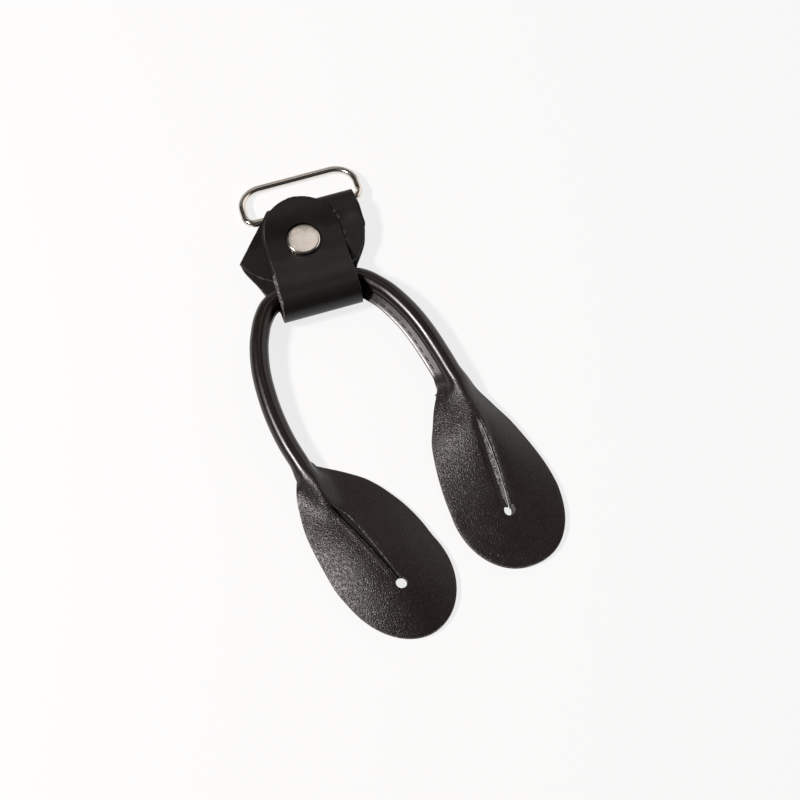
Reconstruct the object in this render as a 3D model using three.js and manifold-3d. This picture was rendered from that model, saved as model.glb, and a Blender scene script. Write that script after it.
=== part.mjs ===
// A leather button end for braces. A riveted, folded leather hanger holds a metal ring in its top fold.
// A rolled leather loop hangs in its bottom fold and opens into two domed tabs with slit buttonholes.
// Millimetres, +Z up. The part lies flat with the hanger along Y, the ring at +Y and the tabs at -Y.
// The origin is the middle of the rivet's flat back face, which rests on the surface.

import * as THREE from "three";
import { mergeVertices } from "three/addons/utils/BufferGeometryUtils.js";
import Module from "manifold-3d";

const wasm = await Module();
wasm.setup();

// Driving dimensions: leather and clearances
const leather = 1.3; // thickness of the hanger and of the tabs
const layerGap = 0.2; // between the hanger's folded layers
const floorGap = 0.3; // the hanger's underside above the surface that the part lies on
const seatGap = 0.1; // between pieces that touch on the real object
const overrun = 2; // how far a cutting tool runs past the piece that it cuts

// Driving dimensions: hanger, in distances from the rivet's axis
const strapWidth = 21.5;
const wingLeft = 17.9; // the widest point of the back layer, on the cut-off side
const wingRight = 17.2;
const wingBack = 0.2; // the widest point lies this far towards the bottom fold
const wingLift = 1.1; // the middle layer's wings curl up by this much
const cutCorner = 7.7; // where the cut-off corner meets the top fold
const topCorner = 16.7; // where the other side meets the top fold
const topFold = 9.6; // to the ring's bar
const bottomFold = 17.6; // to the middle of the bottom fold's bend
const foldSkew = 0.6; // the strap is folded askew by this much at the bottom fold
const middleEnd = 10.7; // to the free end of the middle layer
const flapEnd = 12.4; // to the rounded end of the front flap
const flapShoulder = 1.2; // to where the flap's end starts to round off
const flapCrest = 3.6; // length of the flap's level stretch over the loop

// Driving dimensions: rivet
const capDiameter = 9;
const capHeight = 1.1; // front cap, from its seat to the top of its dome
const capRim = 0.45; // height of the cap's upright rim
const backDiameter = capDiameter;
const backHeight = 0.7;
const stemDiameter = 3;
const stemReach = 0.4; // the stem's end inside the front cap

// Driving dimensions: ring
const wire = 2; // wire diameter
const ringWidth = 30; // inside, along the bar
const ringHeight = 9.2; // inside, across the bar
const ringOffset = 2.9; // the ring sits this far towards the wide side
const barCorner = 2.6; // bend radius of the wire beside the bar
const bowCorner = 6; // bend radius of the wire at the far side
const barPlay = 0.15; // clearance round the bar in the top fold

// Driving dimensions: rolled loop
const rollDiameter = 5;
const rollWall = 0.75; // thinner leather, rolled round the core
const coreDiameter = 3;
const loopPlay = 0.7; // clearance round the roll in the bottom fold
const crownY = -13.4; // middle of the loop, inside the bottom fold
const leftReach = 21.4; // the left leg's widest point from the rivet's axis
const neckHeight = 3.5; // middle of the roll where it opens into a tab
const seamProudLeft = 1; // the stitched seam stands this far out of the roll
const seamProudRight = 1.9;
const seamEndLeft = 5.5; // the seam stops this far before the neck
const seamEndRight = 0.8;
const seamAngleLeft = THREE.MathUtils.degToRad(-50); // the seam is turned under the left leg
const seamAngleRight = THREE.MathUtils.degToRad(-5);
const threadDiameter = 0.5;
const threadIn = 0.65; // the stitches run this far inside the seam's raw edge
const stitch = 3; // stitch length
const stitchRise = 0.14; // each stitch bows out by this much
const neckGap = 0.3; // between the roll's hollow end and the tab's rounded root

// Driving dimensions: tabs. Each is placed by the middle of its hole and the angle of its slit.
const slitLength = 27.2; // from the slit's start to the middle of the hole
const slitWidth = 0.5;
const holeDiameter = 3;
const neckBack = 38; // from the hole back to the neck
const tipReach = 14.2; // from the hole to the tip
const widestBack = 4; // the tip's round starts this far before the hole
const domeHeight = 2.5; // rise of the tab's dome over its edges at the hole
const ridgeWidth = 2.6; // of the soft ridge that carries on the roll
const ridgeFade = 2; // the ridge falls with this power of the distance to the hole
const leftTab = {
  x: -3,
  y: -99.4,
  turn: THREE.MathUtils.degToRad(24.4),
  inward: 1, // the direction along X of its inner side, which faces the other tab
  inner: 15.15, // half widths on both sides of the slit
  outer: 13.25,
  neckSide: 1.4, // the roll meets the tab this far towards the inner side
};
const rightTab = {
  x: 28.8,
  y: -89.3,
  turn: THREE.MathUtils.degToRad(1.2),
  inward: -1,
  inner: 14.3,
  outer: 14.15,
  neckSide: 1.1,
};

// Shares, chosen by eye. Each pair is a share of the length along and a share of the size across.
const backLeftShares = [[0, 1], [0.16, 0.92], [0.45, 0.57], [0.67, 0.35], [0.85, 0.12], [1, 0]];
const backRightShares = [[0, 0.97], [0.22, 0.78], [0.42, 0.46], [0.55, 0.24], [0.71, 0.12], [1, 0]];
const leftLegShares = [
  [0.05, 0.61], [0.118, 0.764], [0.207, 0.868], [0.284, 0.93], [0.41, 0.986],
  [0.54, 1], [0.663, 0.988], [0.8, 0.943], [0.9, 0.887],
];
const rightLegShares = [
  [0.045, 0.395], [0.084, 0.479], [0.145, 0.559], [0.216, 0.639],
  [0.385, 0.768], [0.557, 0.859], [0.768, 0.935],
];
const leftInnerShares = [
  [0.1, 0.97], [0.26, 1], [0.42, 0.987], [0.58, 0.917], [0.66, 0.861],
  [0.74, 0.782], [0.84, 0.63], [0.9, 0.52], [0.95, 0.41], [1, 0.3],
];
const leftOuterShares = [
  [0.1, 1], [0.26, 0.985], [0.42, 0.894], [0.58, 0.781], [0.66, 0.713],
  [0.74, 0.623], [0.84, 0.478], [0.9, 0.385], [0.95, 0.28], [1, 0.15],
];
const rightInnerShares = [
  [0.1, 0.993], [0.26, 1], [0.42, 0.979], [0.58, 0.927], [0.66, 0.878],
  [0.74, 0.806], [0.84, 0.715], [0.9, 0.655], [0.95, 0.6], [1, 0.54],
];
const rightOuterShares = [
  [0.1, 1], [0.26, 0.94], [0.42, 0.823], [0.58, 0.668], [0.66, 0.576],
  [0.74, 0.464], [0.84, 0.331], [0.9, 0.249], [0.95, 0.195], [1, 0.16],
];
const twistStartShare = 0.33; // of the loop's length: the seam starts to turn up from under the left leg
const twistEndShare = 0.42;
const morphShare = 0.14; // of the neck's distance: the round roll has opened into the flat tab by then
const sinkStartShare = 0.1; // of the leg: from here it comes down from the fold to the neck
const domeFallShare = 0.35; // the dome is this much lower at the neck than at the hole
const bluntShare = 0.16; // of the width: the straight edge that a rounded end keeps

// Worked out from the driving dimensions
const strapHalf = strapWidth / 2;
const rollRadius = rollDiameter / 2;
const backZ = floorGap + leather / 2; // middles of the hanger's three layers at the rivet
const middleZ = backZ + leather + layerGap;
const flapZ = middleZ + leather + layerGap;
const barZ = floorGap + leather + barPlay + wire / 2;
const topRadius = wire / 2 + barPlay + leather / 2; // the top fold's middle surface
const tunnelRadius = rollRadius + loopPlay;
const tunnelZ = floorGap + leather + tunnelRadius;
const bottomRadius = tunnelRadius + leather / 2;
const foldOuterY = topFold + topRadius + leather / 2;
const seamThick = 2 * rollWall;

// Finishes, from the photograph
const blackLeather = { color: 0x1d1a18, roughness: 0.55, metalness: 0 };
const polished = { color: 0xd8d3cc, roughness: 0.18, metalness: 1 };
const coreCord = { color: 0x8c8474, roughness: 0.9, metalness: 0 };
const thread = { color: 0x24211f, roughness: 0.7, metalness: 0 };

const group = new THREE.Group();

function add(name, geometry, finish) {
  const mesh = new THREE.Mesh(geometry, new THREE.MeshStandardMaterial(finish));
  mesh.name = name;
  group.add(mesh);
  return mesh;
}

// A closed geometry as a solid, and a solid back as a geometry.
function solidOf(geometry) {
  const bare = geometry.clone();
  bare.deleteAttribute("normal");
  bare.deleteAttribute("uv");
  const merged = mergeVertices(bare);
  return new wasm.Manifold(
    new wasm.Mesh({
      numProp: 3,
      vertProperties: merged.attributes.position.array,
      triVerts: new Uint32Array(merged.index.array),
    }),
  );
}

function geometryOf(solid) {
  const mesh = solid.getMesh();
  const geometry = new THREE.BufferGeometry();
  geometry.setAttribute("position", new THREE.BufferAttribute(mesh.vertProperties, 3));
  geometry.setIndex(new THREE.BufferAttribute(mesh.triVerts, 1));
  geometry.computeVertexNormals();
  return geometry;
}

function cut(geometry, ...tools) {
  return geometryOf(tools.reduce((solid, tool) => solid.subtract(solidOf(tool)), solidOf(geometry)));
}

// A closed body through a list of sections. Each section is an upper and a lower row of points with
// the same count, both running the same way across. A closed loop of sections has no end caps.
function loft(sections, closed = false) {
  const columns = sections[0].upper.length;
  const positions = sections.flatMap((s) => [...s.upper, ...s.lower].flatMap((p) => [p.x, p.y, p.z]));
  const at = (section, row, column) => section * 2 * columns + row * columns + column;
  const faces = [];
  const quad = (a, b, c, d) => faces.push(a, b, c, a, c, d);
  const steps = closed ? sections.length : sections.length - 1;
  for (let i = 0; i < steps; i++) {
    const next = (i + 1) % sections.length;
    for (let j = 0; j < columns - 1; j++) {
      quad(at(i, 0, j), at(next, 0, j), at(next, 0, j + 1), at(i, 0, j + 1));
      quad(at(i, 1, j + 1), at(next, 1, j + 1), at(next, 1, j), at(i, 1, j));
    }
    quad(at(i, 1, 0), at(next, 1, 0), at(next, 0, 0), at(i, 0, 0));
    quad(at(i, 0, columns - 1), at(next, 0, columns - 1), at(next, 1, columns - 1), at(i, 1, columns - 1));
  }
  if (!closed) {
    const last = sections.length - 1;
    for (let j = 0; j < columns - 1; j++) {
      quad(at(0, 0, j), at(0, 0, j + 1), at(0, 1, j + 1), at(0, 1, j));
      quad(at(last, 1, j), at(last, 1, j + 1), at(last, 0, j + 1), at(last, 0, j));
    }
  }
  const geometry = new THREE.BufferGeometry();
  geometry.setAttribute("position", new THREE.Float32BufferAttribute(positions, 3));
  geometry.setIndex(facingOut(positions, faces));
  geometry.computeVertexNormals();
  return geometry;
}

// The faces of a closed body, turned round if they enclose a negative volume.
function facingOut(positions, faces) {
  const corner = (i) => new THREE.Vector3().fromArray(positions, 3 * faces[i]);
  let volume = 0;
  for (let i = 0; i < faces.length; i += 3) volume += corner(i).dot(corner(i + 1).cross(corner(i + 2)));
  return volume < 0 ? faces.reverse() : faces;
}

// Value at x of a smooth curve through pairs [x, value] in rising order of x.
function along(pairs, x) {
  const last = pairs.length - 1;
  if (x <= pairs[0][0]) return pairs[0][1];
  if (x >= pairs[last][0]) return pairs[last][1];
  const i = pairs.findIndex((pair) => pair[0] > x) - 1;
  const slope = (k) => {
    const a = pairs[Math.max(k - 1, 0)];
    const b = pairs[Math.min(k + 1, last)];
    return (b[1] - a[1]) / (b[0] - a[0]);
  };
  const [x0, y0] = pairs[i];
  const [x1, y1] = pairs[i + 1];
  const span = x1 - x0;
  const t = (x - x0) / span;
  const rise = t * t * (3 - 2 * t);
  return (
    y0 * (1 - rise) + y1 * rise + span * t * (1 - t) * (slope(i) * (1 - t) - slope(i + 1) * t)
  );
}

const ease = THREE.MathUtils.smoothstep;
const upward = new THREE.Vector3(0, 0, 1);
const mix = THREE.MathUtils.lerp;

// The hanger: one strap, folded twice. Its middle line runs in the YZ plane from the free end of the
// middle layer, round the ring's bar, down the back layer, round the loop and up the front flap.
function strapLine() {
  const line = [];
  const level = (layer, from, to, z, steps) => {
    for (let i = 0; i < steps; i++) line.push({ layer, y: mix(from, to, i / steps), z });
  };
  const slope = (layer, from, to, low, high, steps) => {
    for (let i = 0; i < steps; i++) {
      const turn = (1 - Math.cos((Math.PI * i) / steps)) / 2;
      line.push({ layer, y: mix(from, to, i / steps), z: mix(low, high, turn) });
    }
  };
  const bend = (layer, y, z, radius, from, to, steps) => {
    for (let i = 0; i < steps; i++) {
      const angle = mix(from, to, i / steps);
      line.push({ layer, y: y + radius * Math.cos(angle), z: z + radius * Math.sin(angle) });
    }
  };
  const capClear = capDiameter / 2;
  roundedEnd(line);
  level("middle", 0, capClear, middleZ, 1);
  slope("middle", capClear, topFold, middleZ, barZ + topRadius, 5);
  bend("middle", topFold, barZ, topRadius, Math.PI / 2, -Math.PI / 2, 8);
  level("back", topFold, -bottomFold, backZ, 13);
  bend("flap", -bottomFold, tunnelZ, bottomRadius, -Math.PI / 2, -1.5 * Math.PI, 9);
  const crest = -bottomFold + flapCrest;
  level("flap", -bottomFold, crest, tunnelZ + bottomRadius, 1);
  slope("flap", crest, -capClear, tunnelZ + bottomRadius, flapZ, 7);
  level("flap", -capClear, flapShoulder, flapZ, 1);
  flapTail(line);
  return line;
}

// Height of the flap beyond the rivet, where it lies on the middle layer as that rises to the fold.
function flapHeight(y) {
  const climb = Math.min(Math.max((y - capDiameter / 2) / (topFold - capDiameter / 2), 0), 1);
  const rise = barZ + topRadius - middleZ;
  const height = middleZ + (rise * (1 - Math.cos(Math.PI * climb))) / 2;
  const steep = (rise * Math.PI * Math.sin(Math.PI * climb)) / 2 / (topFold - capDiameter / 2);
  return height + (leather + layerGap) * Math.hypot(1, steep);
}

function flapTail(line) {
  const steps = 10;
  for (let i = 0; i <= steps; i++) {
    const y = mix(flapShoulder, flapEnd, Math.sin(((Math.PI / 2) * i) / steps));
    line.push({ layer: "flap", y, z: flapHeight(y) });
  }
}

function roundedEnd(line) {
  const steps = 8;
  for (let i = 0; i < steps; i++) {
    line.push({ layer: "middle", y: -middleEnd * Math.cos(((Math.PI / 2) * i) / steps), z: middleZ });
  }
}

// The strap's left and right edges at a place on its line, seen with the grain side up at the flap.
function strapEdges({ layer, y }) {
  const skew = foldSkew * ease(-y, 0, bottomFold);
  const cutLine = -mix(cutCorner, wingLeft, (foldOuterY - y) / (foldOuterY + wingBack));
  const shoulder = mix(wingRight, topCorner, ease(y, middleEnd / 2, foldOuterY));
  if (layer === "middle") {
    const round = Math.max(Math.sqrt(Math.max(0, 1 - (y / middleEnd) ** 2)), bluntShare);
    if (y < 0) return [Math.max(cutLine, -wingRight * round), wingRight * round];
    return [Math.max(cutLine, -wingRight), shoulder];
  }
  if (layer === "back") {
    const down = (-y - wingBack) / (bottomFold - wingBack);
    const left = down < 0 ? cutLine : -mix(strapHalf, wingLeft, along(backLeftShares, down));
    const right = down < 0 ? shoulder - seatGap : mix(strapHalf, wingRight, along(backRightShares, down));
    return [left - skew, right - skew];
  }
  const over = Math.max(0, (y - flapShoulder) / (flapEnd - flapShoulder));
  const half = strapHalf * Math.max(Math.sqrt(Math.max(0, 1 - over ** 2)), bluntShare);
  return [-half - skew, half - skew];
}

function hangerStrap() {
  const columns = 6;
  const line = strapLine();
  const sections = line.map((place, i) => {
    const before = line[Math.max(i - 1, 0)];
    const after = line[Math.min(i + 1, line.length - 1)];
    const run = new THREE.Vector2(after.y - before.y, after.z - before.z).normalize();
    const out = new THREE.Vector2(-run.y, run.x).multiplyScalar(leather / 2);
    const [left, right] = strapEdges(place);
    const upper = [];
    const lower = [];
    for (let j = 0; j <= columns; j++) {
      const x = mix(left, right, j / columns);
      const inMiddle = place.layer === "middle" && place.y < topFold;
      const wing = inMiddle ? ease(Math.abs(x), strapHalf, wingRight) * (1 - ease(place.y, 0, topFold)) : 0;
      const z = place.z + wingLift * wing;
      upper.push(new THREE.Vector3(x, place.y + out.x, z + out.y));
      lower.push(new THREE.Vector3(x, place.y - out.x, z - out.y));
    }
    return { upper, lower };
  });
  const stemHole = new THREE.CylinderGeometry(
    stemDiameter / 2 + seatGap, stemDiameter / 2 + seatGap, flapZ + 2 * overrun, 20,
  ).rotateX(Math.PI / 2).translate(0, 0, flapZ / 2);
  const recessDepth = backHeight + seatGap + overrun;
  const recess = new THREE.CylinderGeometry(
    backDiameter / 2 + seatGap, backDiameter / 2 + seatGap, recessDepth, 24,
  ).rotateX(Math.PI / 2).translate(0, 0, backHeight + seatGap - recessDepth / 2);
  return cut(loft(sections), stemHole, recess);
}

// The rivet: a back cap with its stem, and the front cap that is hammered onto it.
function rivetCap() {
  const radius = capDiameter / 2;
  const bore = stemDiameter / 2 + seatGap;
  const profile = [
    new THREE.Vector2(0, stemReach + seatGap),
    new THREE.Vector2(bore, stemReach + seatGap),
    new THREE.Vector2(bore, 0),
    new THREE.Vector2(radius, 0),
    new THREE.Vector2(radius, capRim),
  ];
  const steps = 6;
  for (let i = 1; i <= steps; i++) {
    const angle = ((Math.PI / 2) * i) / steps;
    profile.push(new THREE.Vector2(radius * Math.cos(angle), mix(capRim, capHeight, Math.sin(angle))));
  }
  profile[profile.length - 1].x = 0;
  return new THREE.LatheGeometry(profile, 24).rotateX(Math.PI / 2);
}

function rivetPost() {
  const radius = backDiameter / 2;
  const stem = stemDiameter / 2;
  const top = flapZ + leather / 2 + seatGap + stemReach;
  const bevel = backHeight / 3;
  const profile = [
    new THREE.Vector2(0, 0),
    new THREE.Vector2(radius - bevel, 0),
    new THREE.Vector2(radius, bevel),
    new THREE.Vector2(radius, backHeight),
    new THREE.Vector2(stem, backHeight),
    new THREE.Vector2(stem, top),
    new THREE.Vector2(0, top),
  ];
  return new THREE.LatheGeometry(profile, 24).rotateX(Math.PI / 2);
}

// The ring, flat in its own XY plane with the middle of its bar at the origin.
function ring() {
  const half = ringWidth / 2 + wire / 2;
  const reach = ringHeight + wire;
  const path = new THREE.CurvePath();
  const corner = (x, y, radius, start) =>
    new THREE.EllipseCurve(x, y, radius, radius, start, start + Math.PI / 2, false);
  const corners = [
    corner(half - barCorner, barCorner, barCorner, -Math.PI / 2),
    corner(half - bowCorner, reach - bowCorner, bowCorner, 0),
    corner(bowCorner - half, reach - bowCorner, bowCorner, Math.PI / 2),
    corner(barCorner - half, barCorner, barCorner, Math.PI),
  ];
  corners.forEach((bend, i) => {
    path.add(bend);
    path.add(new THREE.LineCurve(bend.getPoint(1), corners[(i + 1) % corners.length].getPoint(0)));
  });
  const points = path.curves.flatMap((curve) => {
    const steps = curve.isLineCurve ? 3 : 6;
    return curve.getPoints(steps).slice(0, steps);
  });
  const sections = points.map((point, i) => {
    const before = points[(i + points.length - 1) % points.length];
    const after = points[(i + 1) % points.length];
    const run = after.clone().sub(before).normalize();
    const middle = new THREE.Vector3(point.x, point.y, 0);
    const side = new THREE.Vector3(-run.y, run.x, 0);
    return roundSection(middle, side, upward, wire / 2, 4);
  });
  return loft(sections, true);
}

// A round section as an upper and a lower row of points. Side and up are unit directions.
function roundSection(middle, side, up, radius, columns) {
  const step = Math.PI / (columns + 1);
  const row = (start) =>
    Array.from({ length: columns + 1 }, (_, j) => {
      const angle = start - step * (j + 0.5) * Math.sign(start);
      const point = middle.clone().addScaledVector(side, radius * Math.cos(angle));
      return point.addScaledVector(up, radius * Math.sin(angle));
    });
  return { upper: row(Math.PI), lower: row(-Math.PI) };
}

// Directions of a tab: towards its tip, and towards the other tab.
function tabFrame(tab) {
  const tip = new THREE.Vector3(Math.sin(tab.turn), -Math.cos(tab.turn), 0);
  const inner = new THREE.Vector3(Math.cos(tab.turn), Math.sin(tab.turn), 0).multiplyScalar(tab.inward);
  const hole = new THREE.Vector3(tab.x, tab.y, 0);
  const place = (down, side, z) =>
    hole.clone().addScaledVector(tip, down).addScaledVector(inner, side).setZ(z);
  return { tip, inner, place };
}

function neckOf(tab) {
  return tabFrame(tab).place(-neckBack, tab.neckSide, neckHeight);
}

// The loop's middle line, from the left neck over the crown to the right neck.
function loopCurve() {
  const leg = (neck, reach, shares) =>
    shares.map(([down, out]) => {
      const z = mix(tunnelZ, neckHeight, ease(down, sinkStartShare, 1));
      return new THREE.Vector3(reach * out, mix(crownY, neck.y, down), z);
    });
  const left = neckOf(leftTab);
  const right = neckOf(rightTab);
  return new THREE.CatmullRomCurve3([
    left,
    ...leg(left, -leftReach, leftLegShares).reverse(),
    new THREE.Vector3(0, crownY, tunnelZ),
    ...leg(right, right.x, rightLegShares),
    right,
  ]);
}

const loopLine = loopCurve();
const loopLength = loopLine.getLength();

// Place and directions on the loop at a share of its length: ahead, towards the inside of the loop, up.
function loopFrame(share) {
  const middle = loopLine.getPointAt(share);
  const ahead = loopLine.getTangentAt(share);
  const inside = ahead.clone().cross(upward).normalize();
  const up = inside.clone().cross(ahead);
  return { middle, ahead, inside, up };
}

// Value of the seam at a share of the loop's length, between its values on the left and on the right leg.
function alongSeam(share, left, right) {
  return mix(left, right, ease(share, twistStartShare, twistEndShare));
}

function rollLeather() {
  const steps = 36;
  const sides = 12;
  const sections = [];
  for (let i = 0; i <= steps; i++) {
    const share = i / steps;
    const { middle, inside, up } = loopFrame(share);
    sections.push(roundSection(middle, inside, up, rollRadius, sides / 2));
  }
  const bore = [];
  for (let i = 0; i <= steps; i++) {
    const { middle, inside, up } = loopFrame(i / steps);
    bore.push(roundSection(middle, inside, up, rollRadius - rollWall, 4));
  }
  const socket = (neck) =>
    new THREE.SphereGeometry(rollRadius + neckGap, 16, 10).translate(neck.x, neck.y, neck.z);
  const seam = solidOf(seamFlange());
  const whole = geometryOf(solidOf(loft(sections)).add(seam));
  return cut(whole, loft(bore), socket(neckOf(leftTab)), socket(neckOf(rightTab)));
}

// The seam: both edges of the rolled leather, stitched together, standing out of the roll.
function seamFlange() {
  const steps = 34;
  const sections = [];
  for (let i = 0; i <= steps; i++) {
    const share = mix(seamEndLeft, loopLength - seamEndRight, i / steps) / loopLength;
    const { root, out, across, edge } = seamFrame(share);
    const row = (side) =>
      [rollRadius - rollWall / 2, edge].map((far) =>
        root.clone().addScaledVector(out, far).addScaledVector(across, (side * seamThick) / 2),
      );
    sections.push({ upper: row(1), lower: row(-1) });
  }
  return loft(sections);
}

// The seam at a share of the loop's length: its directions out of the roll and across its two faces,
// and how far its raw edge is from the roll's middle.
function seamFrame(share) {
  const { middle: root, inside, up } = loopFrame(share);
  const edge = rollRadius + alongSeam(share, seamProudLeft, seamProudRight);
  const angle = alongSeam(share, seamAngleLeft, seamAngleRight);
  const out = inside.clone().multiplyScalar(Math.cos(angle)).addScaledVector(up, Math.sin(angle));
  const across = up.clone().multiplyScalar(Math.cos(angle)).addScaledVector(inside, -Math.sin(angle));
  return { root, out, across, edge };
}

// One thread of the seam, bowed out between its stitch holes, on the upper (1) or lower (-1) face.
function seamThread(face) {
  const start = seamEndLeft + stitch;
  const end = loopLength - seamEndRight - stitch;
  const stitches = Math.round((end - start) / stitch);
  const perStitch = 2;
  const sections = [];
  for (let i = 0; i <= stitches * perStitch; i++) {
    const share = mix(start, end, i / (stitches * perStitch)) / loopLength;
    const { root, out, across, edge } = seamFrame(share);
    const bow = stitchRise * Math.abs(Math.sin((Math.PI * i) / perStitch));
    const off = seamThick / 2 + seatGap + threadDiameter / 2 + bow;
    const middle = root.clone().addScaledVector(out, edge - threadIn);
    middle.addScaledVector(across, face * off);
    sections.push(roundSection(middle, out, across, threadDiameter / 2, 1));
  }
  return loft(sections);
}

function rollCore() {
  const steps = 26;
  const sections = [];
  const ends = (rollRadius + 2 * neckGap) / loopLength;
  for (let i = 0; i <= steps; i++) {
    const { middle, inside, up } = loopFrame(mix(ends, 1 - ends, i / steps));
    sections.push(roundSection(middle, inside, up, coreDiameter / 2, 3));
  }
  return loft(sections);
}

// A tab: a domed leaf of leather that grows out of the roll, with a ridge along its slit.
function tabLeaf(tab, innerShares, outerShares) {
  const { place } = tabFrame(tab);
  const columns = 10;
  const edge = (down, shares, half) => {
    if (down <= -widestBack) return half * along(shares, -down / neckBack);
    const round = (down + widestBack) / (tipReach + widestBack);
    return half * shares[0][1] * Math.max(Math.sqrt(1 - round ** 2), bluntShare);
  };
  const ridgeHeight = neckHeight + rollRadius - leather - domeHeight * (1 - domeFallShare);
  const section = (down) => {
    const back = Math.max(0, -down / neckBack);
    const toTip = Math.max(0, down / tipReach);
    const ridge = tab.neckSide * ease(back, slitLength / neckBack, 1);
    const dome = domeHeight * (1 - toTip ** 2) * (1 - domeFallShare * back);
    const bump = ridgeHeight * back ** ridgeFade;
    const opened = 1 - ease(back, 1 - morphShare, 1);
    const inner = edge(down, innerShares, tab.inner);
    const outer = edge(down, outerShares, tab.outer);
    const round = roundSection(
      new THREE.Vector3(ridge, 0, neckHeight), new THREE.Vector3(1, 0, 0), upward, rollRadius, columns,
    );
    const row = (ring, thickness) =>
      ring.map((point, j) => {
        const side = mix(-outer, inner, j / columns);
        const away = (side - ridge) / (side > ridge ? inner - ridge : outer + ridge);
        const hump = bump * Math.exp(-(((side - ridge) / ridgeWidth) ** 2));
        const top = leather + (hump + dome) * (1 - away ** 2);
        return place(down, mix(point.x, side, opened), mix(point.z, top - thickness, opened));
      });
    return { upper: row(round.upper, 0), lower: row(round.lower, leather) };
  };
  const sections = tabRoot(tab, columns);
  const neckSteps = 16;
  for (let i = 0; i <= neckSteps; i++) sections.push(section(mix(-neckBack, -widestBack, i / neckSteps)));
  const tipSteps = 8;
  for (let i = 1; i <= tipSteps; i++) {
    const turn = ((Math.PI / 2) * i) / tipSteps;
    sections.push(section(mix(-widestBack, tipReach, Math.sin(turn))));
  }
  return cut(loft(sections), slit(tab), buttonHole(tab));
}

// The round root of a tab, which turns in the roll's hollow end.
function tabRoot(tab, columns) {
  const { tip, inner } = tabFrame(tab);
  const neck = neckOf(tab);
  const sections = [];
  const steps = 4;
  for (let i = 1; i < steps; i++) {
    const turn = ((Math.PI / 2) * i) / steps;
    const middle = neck.clone().addScaledVector(tip, -rollRadius * Math.cos(turn));
    sections.push(roundSection(middle, inner, upward, rollRadius * Math.sin(turn), columns));
  }
  return sections;
}

function slit(tab) {
  const { place } = tabFrame(tab);
  const height = 2 * (neckHeight + overrun);
  const middle = place(-slitLength / 2, 0, 0);
  return new THREE.BoxGeometry(slitWidth, slitLength, height)
    .rotateZ(tab.turn)
    .translate(middle.x, middle.y, neckHeight);
}

function buttonHole(tab) {
  const { place } = tabFrame(tab);
  const middle = place(0, 0, neckHeight);
  return new THREE.CylinderGeometry(holeDiameter / 2, holeDiameter / 2, 2 * (neckHeight + overrun), 20)
    .rotateX(Math.PI / 2)
    .translate(middle.x, middle.y, middle.z);
}

add("hanger_strap", hangerStrap(), blackLeather);
add("rivet_cap", rivetCap(), polished).position.z = flapZ + leather / 2 + seatGap;
add("rivet_post", rivetPost(), polished);
const ringMesh = add("ring", ring(), polished);
ringMesh.position.set(ringOffset, topFold, barZ);
ringMesh.rotation.x = -Math.asin((barZ - wire / 2 - seatGap) / (ringHeight + wire));
add("roll_leather", rollLeather(), blackLeather);
add("roll_core", rollCore(), coreCord);
add("seam_thread_upper", seamThread(1), thread);
add("seam_thread_lower", seamThread(-1), thread);
add("left_tab", tabLeaf(leftTab, leftInnerShares, leftOuterShares), blackLeather);
add("right_tab", tabLeaf(rightTab, rightInnerShares, rightOuterShares), blackLeather);

export default group;
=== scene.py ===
# %% [markdown]
# # A leather button end for braces
# The real object is a small leather fitting: a folded hanger with one rivet holds a metal ring and a
# rolled loop, and the loop opens at both ends into leaf-shaped tabs with a slit and a hole.
# The imported CAD model is loaded first. It is the fixed frame: every visible piece is built in its
# place, in metres, and most of them ride on one of its bodies.

# %% Load the frame
from math import atan2, cos, exp, hypot, pi, radians, sin, sqrt

import bpy
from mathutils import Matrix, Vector


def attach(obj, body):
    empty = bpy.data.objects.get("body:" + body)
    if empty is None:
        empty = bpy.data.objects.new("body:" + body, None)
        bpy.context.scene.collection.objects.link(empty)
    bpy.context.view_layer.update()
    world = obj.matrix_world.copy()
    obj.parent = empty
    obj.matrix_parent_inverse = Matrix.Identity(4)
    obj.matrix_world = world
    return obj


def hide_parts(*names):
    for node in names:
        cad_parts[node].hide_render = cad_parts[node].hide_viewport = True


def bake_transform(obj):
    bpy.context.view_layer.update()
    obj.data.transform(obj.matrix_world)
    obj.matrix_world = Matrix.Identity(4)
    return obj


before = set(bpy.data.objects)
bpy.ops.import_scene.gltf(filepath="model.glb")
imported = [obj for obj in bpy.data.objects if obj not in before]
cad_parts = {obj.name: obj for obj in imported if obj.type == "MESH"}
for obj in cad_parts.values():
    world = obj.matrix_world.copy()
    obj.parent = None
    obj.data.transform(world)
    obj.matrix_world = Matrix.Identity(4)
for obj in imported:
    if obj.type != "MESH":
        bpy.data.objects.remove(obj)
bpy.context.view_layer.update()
MM = 0.001

# %% [markdown]
# ## Camera
# The photograph was taken from the front, turned a little to the left, from about half a metre. An
# 85 mm lens that looks at a point between the tabs gives the same shape on the picture. The camera
# comes first, so that each piece can be compared with the photograph as it is made.

# %% Camera
CAMERA_PLACE = Vector((-0.046825, -0.241329, 0.448414))
CAMERA_AIM = Vector((0.011546, -0.050406, 0.0))

bpy.ops.object.select_all(action="DESELECT")
bpy.ops.object.camera_add(location=CAMERA_PLACE)
camera = bpy.context.object
camera.rotation_euler = (CAMERA_AIM - CAMERA_PLACE).to_track_quat("-Z", "Y").to_euler()
camera.data.lens = 85
camera.data.sensor_width = 36
camera.data.clip_start = 0.01
bpy.context.scene.camera = camera
bpy.context.scene.view_settings.view_transform = "Standard"
print("Camera at", [round(value, 3) for value in CAMERA_PLACE])

# %% [markdown]
# ## Floor and light
# Product photographs of small leather goods are lit by soft boxes round a white table. A small strong
# one on the left gives the tabs their bright left halves and the roll its highlight. A weak one, high
# at the back, is mirrored by the rivet's cap. Two large ones, behind and on the right, lift the folds
# and the right edges. The floor is white to the camera and in reflections, and the world only to the
# camera; the leather itself is lit by the lamps at a plain level.

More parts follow.
